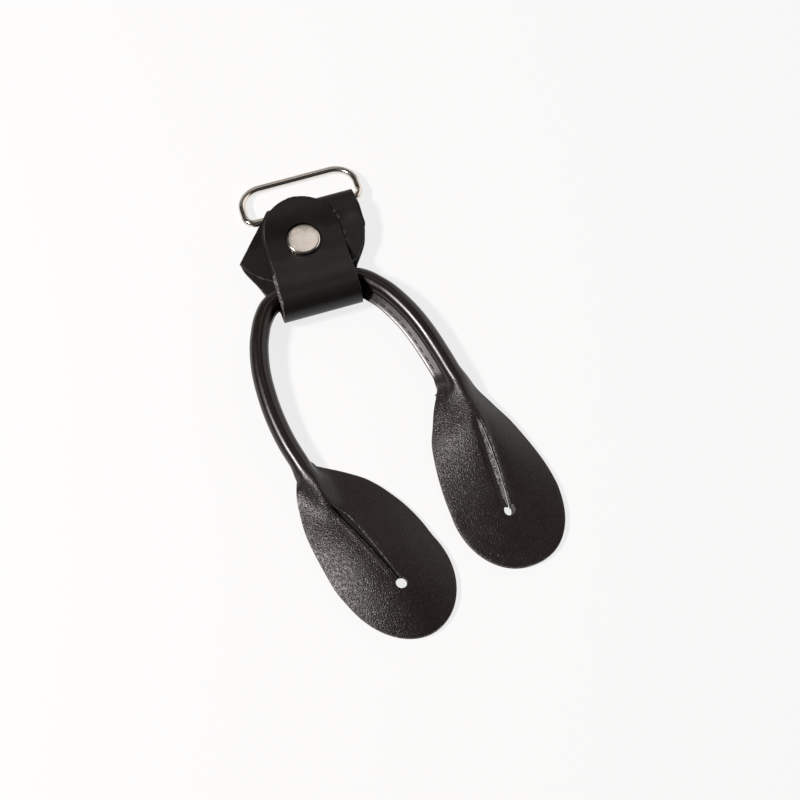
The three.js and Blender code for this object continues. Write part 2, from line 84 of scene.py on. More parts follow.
# %% Helpers for shader nodes
def add_node(tree, kind, inputs=None, **settings):
    """A new node with its settings, and with values or links for its inputs."""
    node = tree.nodes.new(kind)
    for name, value in settings.items():
        setattr(node, name, value)
    for name, value in (inputs or {}).items():
        if isinstance(value, bpy.types.NodeSocket):
            tree.links.new(value, node.inputs[name])
        else:
            node.inputs[name].default_value = value
    return node


def math_node(tree, operation, a, b):
    """The result of an operation on two numbers or links."""
    return add_node(tree, "ShaderNodeMath", {0: a, 1: b}, operation=operation).outputs[0]


def map_range(tree, value, low, high, new_low, new_high, **settings):
    """A value taken from one range to another."""
    ends = {"From Min": low, "From Max": high, "To Min": new_low, "To Max": new_high}
    return add_node(tree, "ShaderNodeMapRange", {"Value": value, **ends}, **settings).outputs[0]


def mix_colours(tree, share, first, second):
    """A colour between two others."""
    return add_node(tree, "ShaderNodeMix", {"Factor": share, "A": first, "B": second},
                    data_type="RGBA").outputs["Result"]


def bump(tree, height, depth):
    """The normals of a relief. A height of 1 stands for the depth, in metres."""
    return add_node(tree, "ShaderNodeBump", {"Strength": 1.0, "Distance": depth,
                                             "Height": height}).outputs[0]


def object_place(tree):
    """Places on the piece, in metres."""
    return add_node(tree, "ShaderNodeTexCoord").outputs["Object"]


def seen_by(tree, *kinds):
    """1 for rays of these kinds, and 0 for all others."""
    rays = add_node(tree, "ShaderNodeLightPath").outputs
    seen = rays[kinds[0]]
    for kind in kinds[1:]:
        seen = math_node(tree, "MAXIMUM", seen, rays[kind])
    return seen


def empty_material(name):
    """A material whose tree holds nothing yet."""
    material = bpy.data.materials.new(name)
    material.use_nodes = True
    material.node_tree.nodes.clear()
    return material, material.node_tree


def end_tree(tree, shader, kind="ShaderNodeOutputMaterial"):
    """Adds the output, with the shader linked to it."""
    tree.links.new(shader.outputs[0], tree.nodes.new(kind).inputs["Surface"])


# %% Floor
FLOOR_SIZE, FLOOR_GLOW = 3.0, 0.8
WHITE = (1, 1, 1, 1)
bpy.ops.object.select_all(action="DESELECT")
bpy.ops.mesh.primitive_plane_add(size=FLOOR_SIZE, location=(0, 0, 0))
floor = bpy.context.object
floor.name = "floor"
white_table, tree = empty_material("white_table")
paper = add_node(tree, "ShaderNodeBsdfPrincipled", {"Base Color": (0.85, 0.85, 0.85, 1), "Roughness": 0.9})
glow = add_node(tree, "ShaderNodeEmission", {"Color": WHITE, "Strength": 1.0})
seen = seen_by(tree, "Is Camera Ray", "Is Glossy Ray", "Is Transmission Ray")
share = math_node(tree, "MULTIPLY", seen, FLOOR_GLOW)
end_tree(tree, add_node(tree, "ShaderNodeMixShader", {0: share, 1: paper.outputs[0], 2: glow.outputs[0]}))
floor.data.materials.append(white_table)
print("Floor of", FLOOR_SIZE, "m")

# %% World
world = bpy.data.worlds.new("studio")
bpy.context.scene.world = world
world.use_nodes = True
tree = world.node_tree
tree.nodes.clear()
soft = add_node(tree, "ShaderNodeBackground", {"Color": WHITE, "Strength": 0.05})
white = add_node(tree, "ShaderNodeBackground", {"Color": WHITE, "Strength": 1.0})
seen = seen_by(tree, "Is Camera Ray", "Is Transmission Ray")
end_tree(tree, add_node(tree, "ShaderNodeMixShader", {0: seen, 1: soft.outputs[0], 2: white.outputs[0]}),
         "ShaderNodeOutputWorld")
print("World: plain white for the camera, grey for the lighting")

# %% Lamps
LAMP_COLOUR = (1.0, 0.94, 0.91)


def soft_box(name, place, aim, wide, high, power):
    """A rectangular area lamp that looks at a point."""
    bpy.ops.object.select_all(action="DESELECT")
    bpy.ops.object.light_add(type="AREA", location=place)
    lamp = bpy.context.object
    lamp.name = name
    lamp.data.shape = "RECTANGLE"
    lamp.data.size, lamp.data.size_y = wide, high
    lamp.data.energy = power
    lamp.data.color = LAMP_COLOUR
    lamp.rotation_euler = (Vector(aim) - Vector(place)).to_track_quat("-Z", "Y").to_euler()


OBJECT_MIDDLE = (0.004, -0.05, 0.0)
soft_box("key_left", (-0.54, 0.014, 0.582), OBJECT_MIDDLE, wide=0.16, high=0.1, power=7.0)
soft_box("top_box", (0.09, 0.33, 0.68), (0, 0, 0), wide=0.24, high=0.24, power=0.15)
soft_box("back_box", (0.1, 0.8, 0.33), OBJECT_MIDDLE, wide=0.9, high=0.45, power=0.65)
soft_box("right_box", (0.6, 0.1, 0.26), OBJECT_MIDDLE, wide=0.9, high=0.6, power=1.7)
print("Four soft boxes")

# %% [markdown]
# ## Leather, cut edges and metal
# All leather on the object is dyed black. The rolled loop and the tabs have a fine pebbled grain that
# catches the light in small specks, the hanger is smoother, and the cut edges show pale fibres where
# no dye reached them. The grain, the fibres and the slow unevenness are node groups, because
# several finishes use them. The grain could be a picture, but cells from a Voronoi texture stay sharp
# from near and from afar.

# %% Shared effects: a helper for groups
FLOAT, VECTOR = "NodeSocketFloat", "NodeSocketVector"


def new_group(name, inputs, outputs):
    """A shader node group with inputs (name, kind, default) and outputs (name, kind)."""
    group = bpy.data.node_groups.new(name, "ShaderNodeTree")
    for label, kind, value in inputs:
        socket = group.interface.new_socket(name=label, in_out="INPUT", socket_type=kind)
        if value is not None:
            socket.default_value = value
    for label, kind in outputs:
        group.interface.new_socket(name=label, in_out="OUTPUT", socket_type=kind)
    entry = group.nodes.new("NodeGroupInput")
    leave = group.nodes.new("NodeGroupOutput")
    return group, entry.outputs, leave.inputs


# %% Shared effect: pebbled grain
def pebble_grain_group():
    """Rounded cells with creases between them, uneven in size, as on milled leather."""
    group, entry, leave = new_group(
        "Pebble Grain",
        [("Vector", VECTOR, None), ("Cells Per Metre", FLOAT, 2400.0), ("Crease Width", FLOAT, 0.4)],
        [("Height", FLOAT), ("Crease", FLOAT)])
    place, cells = entry["Vector"], entry["Cells Per Metre"]
    warp = add_node(group, "ShaderNodeTexNoise", {
        "Vector": place, "Scale": math_node(group, "MULTIPLY", cells, 0.5), "Detail": 2.0})
    centred = add_node(group, "ShaderNodeVectorMath", {0: warp.outputs["Color"], 1: (0.5, 0.5, 0.5)},
                       operation="SUBTRACT")
    moved = add_node(group, "ShaderNodeVectorMath", {
        0: centred.outputs[0], "Scale": math_node(group, "DIVIDE", 0.7, cells)}, operation="SCALE")
    warped = add_node(group, "ShaderNodeVectorMath", {0: place, 1: moved.outputs[0]}, operation="ADD")
    distance = add_node(group, "ShaderNodeTexVoronoi", {"Vector": warped.outputs[0], "Scale": cells},
                        feature="DISTANCE_TO_EDGE").outputs["Distance"]
    rounded = map_range(group, distance, 0.0, entry["Crease Width"], 0.0, 1.0,
                        interpolation_type="SMOOTHSTEP")
    uneven = add_node(group, "ShaderNodeTexNoise", {"Vector": place, "Scale": cells, "Detail": 3.0})
    level = map_range(group, uneven.outputs["Fac"], 0.3, 0.7, 0.45, 1.0)
    group.links.new(math_node(group, "MULTIPLY", rounded, level), leave["Height"])
    group.links.new(math_node(group, "SUBTRACT", 1.0, rounded), leave["Crease"])
    return group


pebble_grain = pebble_grain_group()
print("Group:", pebble_grain.name)


# %% Shared effect: slow unevenness
def unevenness_group():
    """Soft patches between two values, for sheen that varies from place to place."""
    group, entry, leave = new_group(
        "Unevenness",
        [("Vector", VECTOR, None), ("Patches Per Metre", FLOAT, 120.0), ("Low", FLOAT, 0.4),
         ("High", FLOAT, 0.6)],
        [("Value", FLOAT)])
    noise = add_node(group, "ShaderNodeTexNoise", {
        "Vector": entry["Vector"], "Scale": entry["Patches Per Metre"], "Detail": 4.0, "Roughness": 0.55})
    group.links.new(map_range(group, noise.outputs["Fac"], 0.3, 0.7, entry["Low"], entry["High"]),
                    leave["Value"])
    return group


unevenness = unevenness_group()
print("Group:", unevenness.name)


# %% Shared effect: fibres
def fibres_group():
    """Short tangled fibres, as on a cut edge or the flesh side of leather."""
    group, entry, leave = new_group(
        "Fibres",
        [("Vector", VECTOR, None), ("Fibres Per Metre", FLOAT, 3000.0), ("Contrast", FLOAT, 1.0)],
        [("Height", FLOAT), ("Pale", FLOAT)])
    tangle = add_node(group, "ShaderNodeTexNoise", {
        "Vector": entry["Vector"], "Scale": entry["Fibres Per Metre"], "Detail": 4.0, "Roughness": 0.7,
        "Distortion": 1.2}).outputs["Fac"]
    group.links.new(tangle, leave["Height"])
    group.links.new(map_range(group, tangle, 0.5, 0.68, 0.0, entry["Contrast"]), leave["Pale"])
    return group


fibres = fibres_group()
print("Group:", fibres.name)


# %% Grained leather of the loop and the tabs
def patches(tree, place, per_metre, low, high):
    """Slow patches between two values."""
    return add_node(tree, "ShaderNodeGroup", {
        "Vector": place, "Patches Per Metre": per_metre, "Low": low, "High": high},
        node_tree=unevenness).outputs["Value"]


def leather_material(name, dark, light, cells, depth, rough, gloss, tight=None):
    """Black leather: pebbled grain as bump, creases a little duller, and uneven gloss. Where the
    attribute "open" is 0, the leather is pulled tight: its grain is flatter and glossier."""
    material, tree = empty_material(name)
    place = object_place(tree)
    drawn = add_node(tree, "ShaderNodeMapping", {
        "Vector": place, "Rotation": (0, 0, radians(17)), "Scale": (0.7, 1.1, 1.0)})
    grain = add_node(tree, "ShaderNodeGroup", {"Vector": drawn.outputs[0], "Cells Per Metre": cells},
                     node_tree=pebble_grain).outputs
    height = grain["Height"]
    dullness = math_node(tree, "ADD", patches(tree, place, 160.0, *rough),
                         math_node(tree, "MULTIPLY", grain["Crease"], 0.08))
    if tight:
        opened = add_node(tree, "ShaderNodeAttribute", attribute_name="open").outputs["Fac"]
        height = math_node(tree, "MULTIPLY", height, map_range(tree, opened, 0.0, 1.0, tight[0], 1.0))
        dullness = math_node(tree, "ADD", dullness, map_range(tree, opened, 0.0, 1.0, -tight[1], 0.0))
    end_tree(tree, add_node(tree, "ShaderNodeBsdfPrincipled", {
        "Base Color": mix_colours(tree, patches(tree, place, 400.0, 0.0, 1.0), dark, light),
        "Roughness": dullness, "Specular IOR Level": gloss, "Normal": bump(tree, height, depth)}))
    return material


loop_leather = leather_material(
    "grained_black_leather", (0.008, 0.0046, 0.003, 1), (0.0115, 0.0074, 0.0055, 1), cells=2350.0,
    depth=0.00006, rough=(0.28, 0.36), gloss=0.5, tight=(0.055, 0.105))
hanger_leather = leather_material(
    "smooth_black_leather", (0.0052, 0.0043, 0.0038, 1), (0.007, 0.0058, 0.0052, 1), cells=5200.0,
    depth=0.000008, rough=(0.3, 0.36), gloss=0.45)
print("Leathers:", loop_leather.name, hanger_leather.name)


# %% Cut edge and flesh side
def fibre_material(name, dark, pale, density, contrast, depth, rough):
    """Rough leather fibres: dark dye with pale specks where the fibres are broken."""
    material, tree = empty_material(name)
    fibre = add_node(tree, "ShaderNodeGroup", {
        "Vector": object_place(tree), "Fibres Per Metre": density, "Contrast": contrast},
        node_tree=fibres).outputs
    end_tree(tree, add_node(tree, "ShaderNodeBsdfPrincipled", {
        "Base Color": mix_colours(tree, fibre["Pale"], dark, pale), "Roughness": rough,
        "Specular IOR Level": 0.3, "Normal": bump(tree, fibre["Height"], depth)}))
    return material


cut_edge = fibre_material("cut_leather_edge", (0.02, 0.018, 0.017, 1), (0.5, 0.48, 0.46, 1),
                          density=2600.0, contrast=1.0, depth=0.00005, rough=0.75)
flesh_side = fibre_material("leather_flesh_side", (0.006, 0.005, 0.0045, 1), (0.02, 0.017, 0.015, 1),
                            density=1800.0, contrast=0.7, depth=0.00006, rough=0.85)
# A dark edge material: dye on the flap's edges, and painted shade on the hanger's shaded slopes and edges.
dye_and_painted_shade = fibre_material("dyed_edge_and_painted_shade", (0.003, 0.0026, 0.0023, 1), (0.009, 0.008, 0.007, 1),
                           density=2600.0, contrast=0.8, depth=0.00004, rough=0.7)
print("Raw leather:", cut_edge.name, flesh_side.name, dye_and_painted_shade.name)


# %% Polished metal
def metal_material():
    """Nickel plate with faint smudges in its gloss."""
    material, tree = empty_material("polished_nickel")
    place = object_place(tree)
    colour = mix_colours(tree, patches(tree, place, 250.0, 0.0, 1.0), (0.74, 0.68, 0.61, 1),
                         (0.82, 0.77, 0.71, 1))
    end_tree(tree, add_node(tree, "ShaderNodeBsdfPrincipled", {
        "Base Color": colour, "Metallic": 1.0, "Roughness": patches(tree, place, 700.0, 0.1, 0.2)}))
    return material


nickel = metal_material()
print("Metal:", nickel.name)

# %% [markdown]
# ## Helpers for modelling
# Leather pieces start as a flat grid, like the cut piece of leather on the bench. Each row of the
# grid is then laid along one section of the piece, and where a sheet is wrapped round, its two edges
# are merged. It could be modelled flat and bent afterwards, but rows that follow the shape keep its
# thickness even. Holes and slits are cut with solid cutters, which leave their own finish on the new
# walls, as a knife leaves a raw edge.

# %% Modelling helpers
def select_only(piece):
    """Selects one piece and makes it active."""
    bpy.ops.object.select_all(action="DESELECT")
    piece.select_set(True)
    bpy.context.view_layer.objects.active = piece


def lay_sheet(name, rows, materials, column_material=None, closed=False):
    """A grid laid on rows of points in mm and wrapped into a tube. Closed also joins its ends."""
    across, along = len(rows[0]) + 1, len(rows) + (1 if closed else 0)
    bpy.ops.object.select_all(action="DESELECT")
    bpy.ops.mesh.primitive_grid_add(x_subdivisions=across - 1, y_subdivisions=along - 1, size=0.01)
    piece = bpy.context.object
    piece.name = name
    mesh = piece.data
    if len(mesh.vertices) != across * along:
        raise ValueError(f"{name}: the grid has {len(mesh.vertices)} vertices, not {across * along}")
    laid = [point for row in (rows + rows[:1] if closed else rows) for point in row + row[:1]]
    mesh.vertices.foreach_set("co", [value * MM for point in laid for value in point])
    for material in materials:
        mesh.materials.append(material)
    if column_material:
        pattern = [column_material[column] for _ in range(along - 1) for column in range(across - 1)]
        mesh.polygons.foreach_set("material_index", pattern)
    mesh.update()
    bpy.ops.object.mode_set(mode="EDIT")
    bpy.ops.mesh.select_all(action="SELECT")
    bpy.ops.mesh.remove_doubles(threshold=1e-7)
    bpy.ops.mesh.fill_holes(sides=0)
    bpy.ops.mesh.select_all(action="SELECT")
    bpy.ops.mesh.normals_make_consistent(inside=False)
    bpy.ops.object.mode_set(mode="OBJECT")
    return piece


def cut_away(piece, cutter):
    """Cuts the cutter's shape out of the piece. The new walls take the cutter's material."""
    select_only(piece)
    bpy.ops.object.modifier_add(type="BOOLEAN")
    boolean = piece.modifiers[-1]
    boolean.operation = "DIFFERENCE"
    boolean.solver = "EXACT"
    boolean.material_mode = "TRANSFER"
    boolean.object = cutter
    before = len(piece.data.polygons)
    bpy.ops.object.modifier_apply(modifier=boolean.name)
    bpy.data.objects.remove(cutter, do_unlink=True)
    if len(piece.data.polygons) < before / 2:
        raise ValueError(f"{piece.name}: the cut failed, {before} faces became {len(piece.data.polygons)}")


def shade(piece, angle=35):
    """Smooth shading that keeps real corners."""
    select_only(piece)
    bpy.ops.object.shade_smooth_by_angle(angle=radians(angle))


def report(piece):
    """Prints how many faces a piece has, and its box in mm."""
    box = [[round(end(v.co[axis] for v in piece.data.vertices) / MM, 2) for axis in range(3)]
           for end in (min, max)]
    print(piece.name, len(piece.data.polygons), "faces", *box)


# %% Small functions for shapes
def mix(a, b, share):
    """A value between two others."""
    return a + (b - a) * share


def ease(x, low, high):
    """0 below low, 1 above high, and a smooth step between them."""
    t = min(max((x - low) / (high - low), 0.0), 1.0)
    return t * t * (3 - 2 * t)


def along(pairs, x):
    """Value at x of a smooth curve through pairs (x, value) in rising order of x."""
    if x <= pairs[0][0]:
        return pairs[0][1]
    if x >= pairs[-1][0]:
        return pairs[-1][1]
    i = max(k for k in range(len(pairs) - 1) if pairs[k][0] <= x)

    def slope(k):
        a, b = pairs[max(k - 1, 0)], pairs[min(k + 1, len(pairs) - 1)]
        return (b[1] - a[1]) / (b[0] - a[0])

    (x0, y0), (x1, y1) = pairs[i], pairs[i + 1]
    span = x1 - x0
    t = (x - x0) / span
    sway = span * t * (1 - t) * (slope(i) * (1 - t) - slope(i + 1) * t)
    return mix(y0, y1, t * t * (3 - 2 * t)) + sway


# %% [markdown]
# ## The line of the rolled loop
# The loop runs from the left tab's neck up through the hanger's bottom fold and down to the right
# tab's neck. It repeats the line of the CAD model, so that it lies in the same place. A spline through
# a few points is walked at even steps.

# %% Line of the loop, in mm
# A leg is pairs of shares: how far down from the crown to the neck, and how far out. A tab's "inner"
# and "outer" are shares of its half widths, from the hole (0) back to the neck (1). Its "rise",
# "ridge", "lift" and crests are pairs of a place, counted from the hole towards the tip, and a height
# or a roundness. Its "lips" are pairs of a place beside the slit and a height.
LEATHER = 1.3
ROLL_RADIUS = 2.5
CROWN_Y, CROWN_Z, NECK_Z = -13.4, 4.8, 3.5
NECK_BACK, TIP_REACH, WIDEST_BACK, SLIT_LENGTH = 38.0, 14.2, 4.0, 27.2
LEFT_REACH = 21.4
LEFT_LEG = [(0.05, 0.61), (0.118, 0.764), (0.207, 0.868), (0.284, 0.93), (0.41, 0.986),
            (0.54, 1), (0.663, 0.988), (0.8, 0.943), (0.9, 0.887)]
RIGHT_LEG = [(0.045, 0.395), (0.084, 0.479), (0.145, 0.559), (0.216, 0.639),
             (0.385, 0.768), (0.557, 0.859), (0.768, 0.935)]
TAB_SHARES = (0, 0.1, 0.26, 0.42, 0.58, 0.66, 0.74, 0.84, 0.9, 0.95, 1)
LEFT_TAB = {
    "hole": (-3.0, -99.4), "turn": radians(24.4), "inward": 1, "neck_side": 1.4,
    "inner": list(zip(TAB_SHARES, (1, 0.97, 1, 0.987, 0.917, 0.861, 0.782, 0.63, 0.52, 0.41, 0.3))),
    "outer": list(zip(TAB_SHARES, (0.99, 1, 0.985, 0.894, 0.781, 0.713, 0.623, 0.478, 0.385, 0.28, 0.15))),
    "inner_width": 15.15, "outer_width": 13.25, "inner_round": 2.0, "outer_round": 2.05,
    "rise": [(-38, 1.6), (-31, 1.4), (-24, 1.65), (-16, 3.0), (-8, 3.4), (0, 2.9), (6, 2.0), (11, 0.8),
             (14.2, 0)],
    "ridge": [(-38, 3.1), (-33, 3.1), (-28.5, 2.0), (-24, 0.3), (-18, 0)], "lift": [(-38, 0), (0, 0)],
    "inner_crest": [(-38, 0.6), (-20, 1.4), (0, 1.4)],
    "outer_crest": [(-38, 0.4), (-24, 1.2), (0, 0.7)],
    "lips": [(-0.6, 0.15), (1.1, -0.12)],
}
RIGHT_TAB = {
    "hole": (28.8, -89.3), "turn": radians(1.2), "inward": -1, "neck_side": 1.1,
    "inner": list(zip(TAB_SHARES, (0.985, 0.993, 1, 0.979, 0.927, 0.878, 0.79, 0.685, 0.61, 0.54, 0.475))),
    "outer": list(zip(TAB_SHARES, (0.995, 1, 0.94, 0.823, 0.668, 0.576, 0.464, 0.331, 0.249, 0.195, 0.16))),
    "inner_width": 14.3, "outer_width": 14.15, "inner_round": 2.0, "outer_round": 2.35,
    "rise": [(-38, 2.3), (-33, 2.6), (-29, 3.6), (-25, 4.3), (-21, 4.1), (-16, 3.3), (-8, 2.0), (0, 1.2),
             (6, 0.7), (11, 0.3), (14.2, 0)],
    "ridge": [(-38, 1.8), (-33, 1.0), (-28.5, 0.35), (-24, 0)],
    "lift": [(-38, 0.6), (-33, 1.0), (-26, 0.7), (-18, 0.15), (-12, 0)],
    "inner_crest": [(-38, 0.3), (-20, 0.25), (0, 0.8)],
    "outer_crest": [(-38, 0.4), (-20, 0.5), (0, 1.2)],
    "lips": [(-0.55, -0.42), (1.1, 0.3)],
}


def tab_place(tab, down, side):
    """A place on a tab in mm: down from the hole towards the tip, and side towards the other tab."""
    x, y = tab["hole"]
    tip = (sin(tab["turn"]), -cos(tab["turn"]))
    inner = (cos(tab["turn"]) * tab["inward"], sin(tab["turn"]) * tab["inward"])
    return x + tip[0] * down + inner[0] * side, y + tip[1] * down + inner[1] * side


def tip_of(tab):
    """The direction from a tab's neck to its tip."""
    return Vector((sin(tab["turn"]), -cos(tab["turn"]), 0))


def inside_of(tab):
    """The direction across a tab, towards the other tab."""
    return Vector((cos(tab["turn"]), sin(tab["turn"]), 0)) * tab["inward"]


def leg_points(tab, reach, shares):
    """The line's points on one leg, from the crown to the neck."""
    neck = tab_place(tab, -NECK_BACK, tab["neck_side"])
    reach = neck[0] if reach is None else -reach
    points = [Vector((reach * out, mix(CROWN_Y, neck[1], down),
                      mix(CROWN_Z, NECK_Z, ease(down, 0.1, 1)))) for down, out in shares]
    return points + [Vector((*neck, NECK_Z))]


def smooth_line(points, steps=16):
    """A centripetal spline through the points, as a dense list of points."""
    ends = [points[0] * 2 - points[1], *points, points[-1] * 2 - points[-2]]
    line = []
    for a, b, c, d in zip(ends, ends[1:], ends[2:], ends[3:]):
        ab, bc, cd = sqrt((b - a).length), sqrt((c - b).length), sqrt((d - c).length)
        start = ((b - a) / ab - (c - a) / (ab + bc) + (c - b) / bc) * bc
        end = ((c - b) / bc - (d - b) / (bc + cd) + (d - c) / cd) * bc
        for i in range(steps):
            t = i / steps
            line.append(b * (2 * t ** 3 - 3 * t * t + 1) + start * (t ** 3 - 2 * t * t + t)
                        + c * (3 * t * t - 2 * t ** 3) + end * (t ** 3 - t * t))
    return line + [points[-1]]


left_points = leg_points(LEFT_TAB, LEFT_REACH, LEFT_LEG)
right_points = leg_points(RIGHT_TAB, None, RIGHT_LEG)
loop_line = smooth_line(left_points[::-1] + [Vector((0, CROWN_Y, CROWN_Z))] + right_points)
loop_lengths = [0.0]
for before, after in zip(loop_line, loop_line[1:]):
    loop_lengths.append(loop_lengths[-1] + (after - before).length)
LOOP_LENGTH = loop_lengths[-1]
crown_at = min(range(len(loop_line)),
               key=lambda i: abs(loop_line[i].x) + abs(loop_line[i].y - CROWN_Y))
CROWN_LENGTH = loop_lengths[crown_at]
print("Loop line:", round(LOOP_LENGTH, 2), "mm, crown at", round(CROWN_LENGTH, 2))


def loop_place(length):
    """Place on the loop at a length from the left neck, and the direction towards its inside."""
    length = min(max(length, 0.0), LOOP_LENGTH)
    i = min(max(k for k in range(len(loop_lengths)) if loop_lengths[k] <= length), len(loop_line) - 2)
    share = (length - loop_lengths[i]) / (loop_lengths[i + 1] - loop_lengths[i])
    place = loop_line[i].lerp(loop_line[i + 1], share)
    before, after = loop_line[max(i - 1, 0)], loop_line[min(i + 2, len(loop_line) - 1)]
    ahead = (after - before).normalized()
    return place, Vector((ahead.y, -ahead.x, 0)).normalized()


# %% [markdown]
# ## Sections of the leather
# Each half of the loop is one piece of leather. In the leg it is rolled round a cord and its two edges
# are stitched into a seam that stands out of the roll. At the neck the seam opens and the leather
# spreads out into the tab: a leaf with a soft ridge, a dome and two free edges. A section is one closed
# ring of points. Its upper row runs from the outer edge over the crest to the inner edge, the lower row
# runs back underneath, and both edges have their own points, so that they stay crisp.

# %% Sections of roll and leaf
UPPER_HALF, LOWER_ROW, FIN_STEPS, EDGE_POINTS = 20, 32, 4, 5
SECTION_UPPER = 2 * UPPER_HALF + 1
SEAM_THICK = 1.5
EDGE_ROUND = 0.16
RIDGE_WIDTH = 2.7
SEAM_NOTCH = 0.25
OUTER_GAP = radians(9)
LIP_WIDTH = 0.6
GATHER = 1.45


def edge_rows(top, bottom, outward, notch=0.0):
    """Points down a raw edge from the upper to the lower corner, as (side, height)."""
    (side, high), (_, low) = top, bottom
    far = side + outward * EDGE_ROUND
    near = far - outward * EDGE_ROUND * 0.3
    middle = (high + low) / 2
    return [(near, high - EDGE_ROUND * 0.3), (far, high - EDGE_ROUND), (far - outward * notch, middle),
            (far, low + EDGE_ROUND), (near, low + EDGE_ROUND * 0.3)]


def roll_section(centre_side, centre_z, seam, proud, stretch):
    """The rolled leather with its seam at an angle. Stretch widens its outer half."""
    half_seam = SEAM_THICK / 2
    open_angle = atan2(half_seam, sqrt(ROLL_RADIUS ** 2 - half_seam ** 2))

    def round_point(angle):
        wide = ROLL_RADIUS * (stretch if cos(angle) < 0 else 1.0)
        return centre_side + wide * cos(angle), centre_z + ROLL_RADIUS * sin(angle)

    def fin_point(out, across):
        return (centre_side + out * cos(seam) - across * sin(seam),
                centre_z + out * sin(seam) + across * cos(seam))

    upper = [round_point(pi - OUTER_GAP - (pi / 2 - OUTER_GAP) * i / UPPER_HALF)
             for i in range(UPPER_HALF)]
    sweep = pi / 2 - (seam + open_angle)
    turns = UPPER_HALF - FIN_STEPS
    upper += [round_point(pi / 2 - sweep * i / turns) for i in range(turns + 1)]
    root, edge = ROLL_RADIUS * cos(open_angle), ROLL_RADIUS + proud - EDGE_ROUND
    upper += [fin_point(mix(root, edge, i / FIN_STEPS), half_seam) for i in range(1, FIN_STEPS + 1)]
    tips = edge_rows((edge, half_seam), (edge, -half_seam), 1, SEAM_NOTCH)
    raw = [fin_point(out, across) for out, across in tips]
    lower = [fin_point(mix(edge, root, i / FIN_STEPS), -half_seam) for i in range(FIN_STEPS)]
    turns = LOWER_ROW - FIN_STEPS
    start, end = seam - open_angle, -pi + OUTER_GAP
    lower += [round_point(mix(start, end, i / turns)) for i in range(turns + 1)]
    back = [round_point(mix(pi + OUTER_GAP, pi - OUTER_GAP, i / (EDGE_POINTS + 1)))
            for i in range(1, EDGE_POINTS + 1)]
    return upper + raw + lower + back


def edge_width(tab, side, down):
    """Half width of a tab on its inner or outer side, from the slit's line to the edge."""
    shares, width = tab[side], tab[side + "_width"]
    if down <= -WIDEST_BACK:
        return width * along(shares, min(-down / NECK_BACK, 1.0))
    power = tab[side + "_round"]
    share = (down + WIDEST_BACK) / (TIP_REACH + WIDEST_BACK)
    start = along(shares, WIDEST_BACK / NECK_BACK)
    return width * start * max((1 - share ** power) ** (1 / power), 0.05)


def ridge_at(tab, down):
    """Side of a tab's ridge: on the slit's line, and past the slit's point over to the roll's middle."""
    back = min(max(0.0, -down / NECK_BACK), 1.0)
    return tab["neck_side"] * ease(back, SLIT_LENGTH / NECK_BACK, 1)


def leaf_top(tab, down, side):
    """Height of a tab's upper surface in mm: the ridge that runs on from the roll, on a dome. A small
    crest value makes a flank straight, like a roof, and a large one makes it round."""
    ridge = ridge_at(tab, down)
    inner, outer = edge_width(tab, "inner", down), edge_width(tab, "outer", down)
    inward = side > ridge
    away = min(abs(side - ridge) / (inner - ridge if inward else outer + ridge), 1.0)
    crest = along(tab["inner_crest" if inward else "outer_crest"], down)
    dome = along(tab["rise"], down) * (1 - (hypot(away, crest) - crest) / (hypot(1, crest) - crest))
    hump = along(tab["ridge"], down) * exp(-((side - ridge) / RIDGE_WIDTH) ** 2) * (1 - away ** 3)
    return LEATHER + along(tab["lift"], down) + hump + dome + slit_lips(tab, down, side)


def slit_lips(tab, down, side):
    """The leather beside the slit: one lip is pressed down and the other stands up."""
    right = side * tab["inward"]
    reach = ease(down, -SLIT_LENGTH - 1.0, -SLIT_LENGTH + 4) * (1 - ease(down, -3.5, -0.5))
    return reach * sum(height * exp(-((right - place) / LIP_WIDTH) ** 2) for place, height in tab["lips"])


def leaf_section(tab, down):
    """The open leaf: upper surface, inner edge, lower surface, outer edge."""
    ridge = ridge_at(tab, down)
    inner = edge_width(tab, "inner", down) - EDGE_ROUND
    outer = edge_width(tab, "outer", down) - EDGE_ROUND
    sides = [mix(ridge, -outer, (1 - i / UPPER_HALF) ** GATHER) for i in range(UPPER_HALF)]
    sides += [mix(ridge, inner, (i / UPPER_HALF) ** GATHER) for i in range(UPPER_HALF + 1)]
    upper = [(side, leaf_top(tab, down, side)) for side in sides]
    lower = [(side, leaf_top(tab, down, side) - LEATHER)
             for side in (mix(inner, -outer, i / LOWER_ROW) for i in range(LOWER_ROW + 1))]
    raw = edge_rows(upper[-1], lower[0], 1)
    back_edge = edge_rows(upper[0], lower[-1], -1)[::-1]
    return upper + raw + lower + back_edge


print("Points in a section:", len(leaf_section(LEFT_TAB, 0)), len(roll_section(0, 3, 0, 1, 1)))

# %% Stations along one half of the leather
LEG_STEP, TAB_STEP = 0.8, 0.75
OPEN_START, OPEN_END = -42.5, -31.0
TWIST_START, TWIST_END = 0.46, 0.57
SEAM_LEFT, SEAM_RIGHT = (radians(-62), 0.8), (radians(-23), 2.5)
NECK_SEAM = {1: radians(-12), -1: radians(-16)}
CROWN_GAP = 0.01


def seam_at(length):
    """Angle of the seam, and how far it stands out of the roll, at a length from the left neck."""
    share = ease(length / LOOP_LENGTH, TWIST_START, TWIST_END)
    return mix(SEAM_LEFT[0], SEAM_RIGHT[0], share), mix(SEAM_LEFT[1], SEAM_RIGHT[1], share)


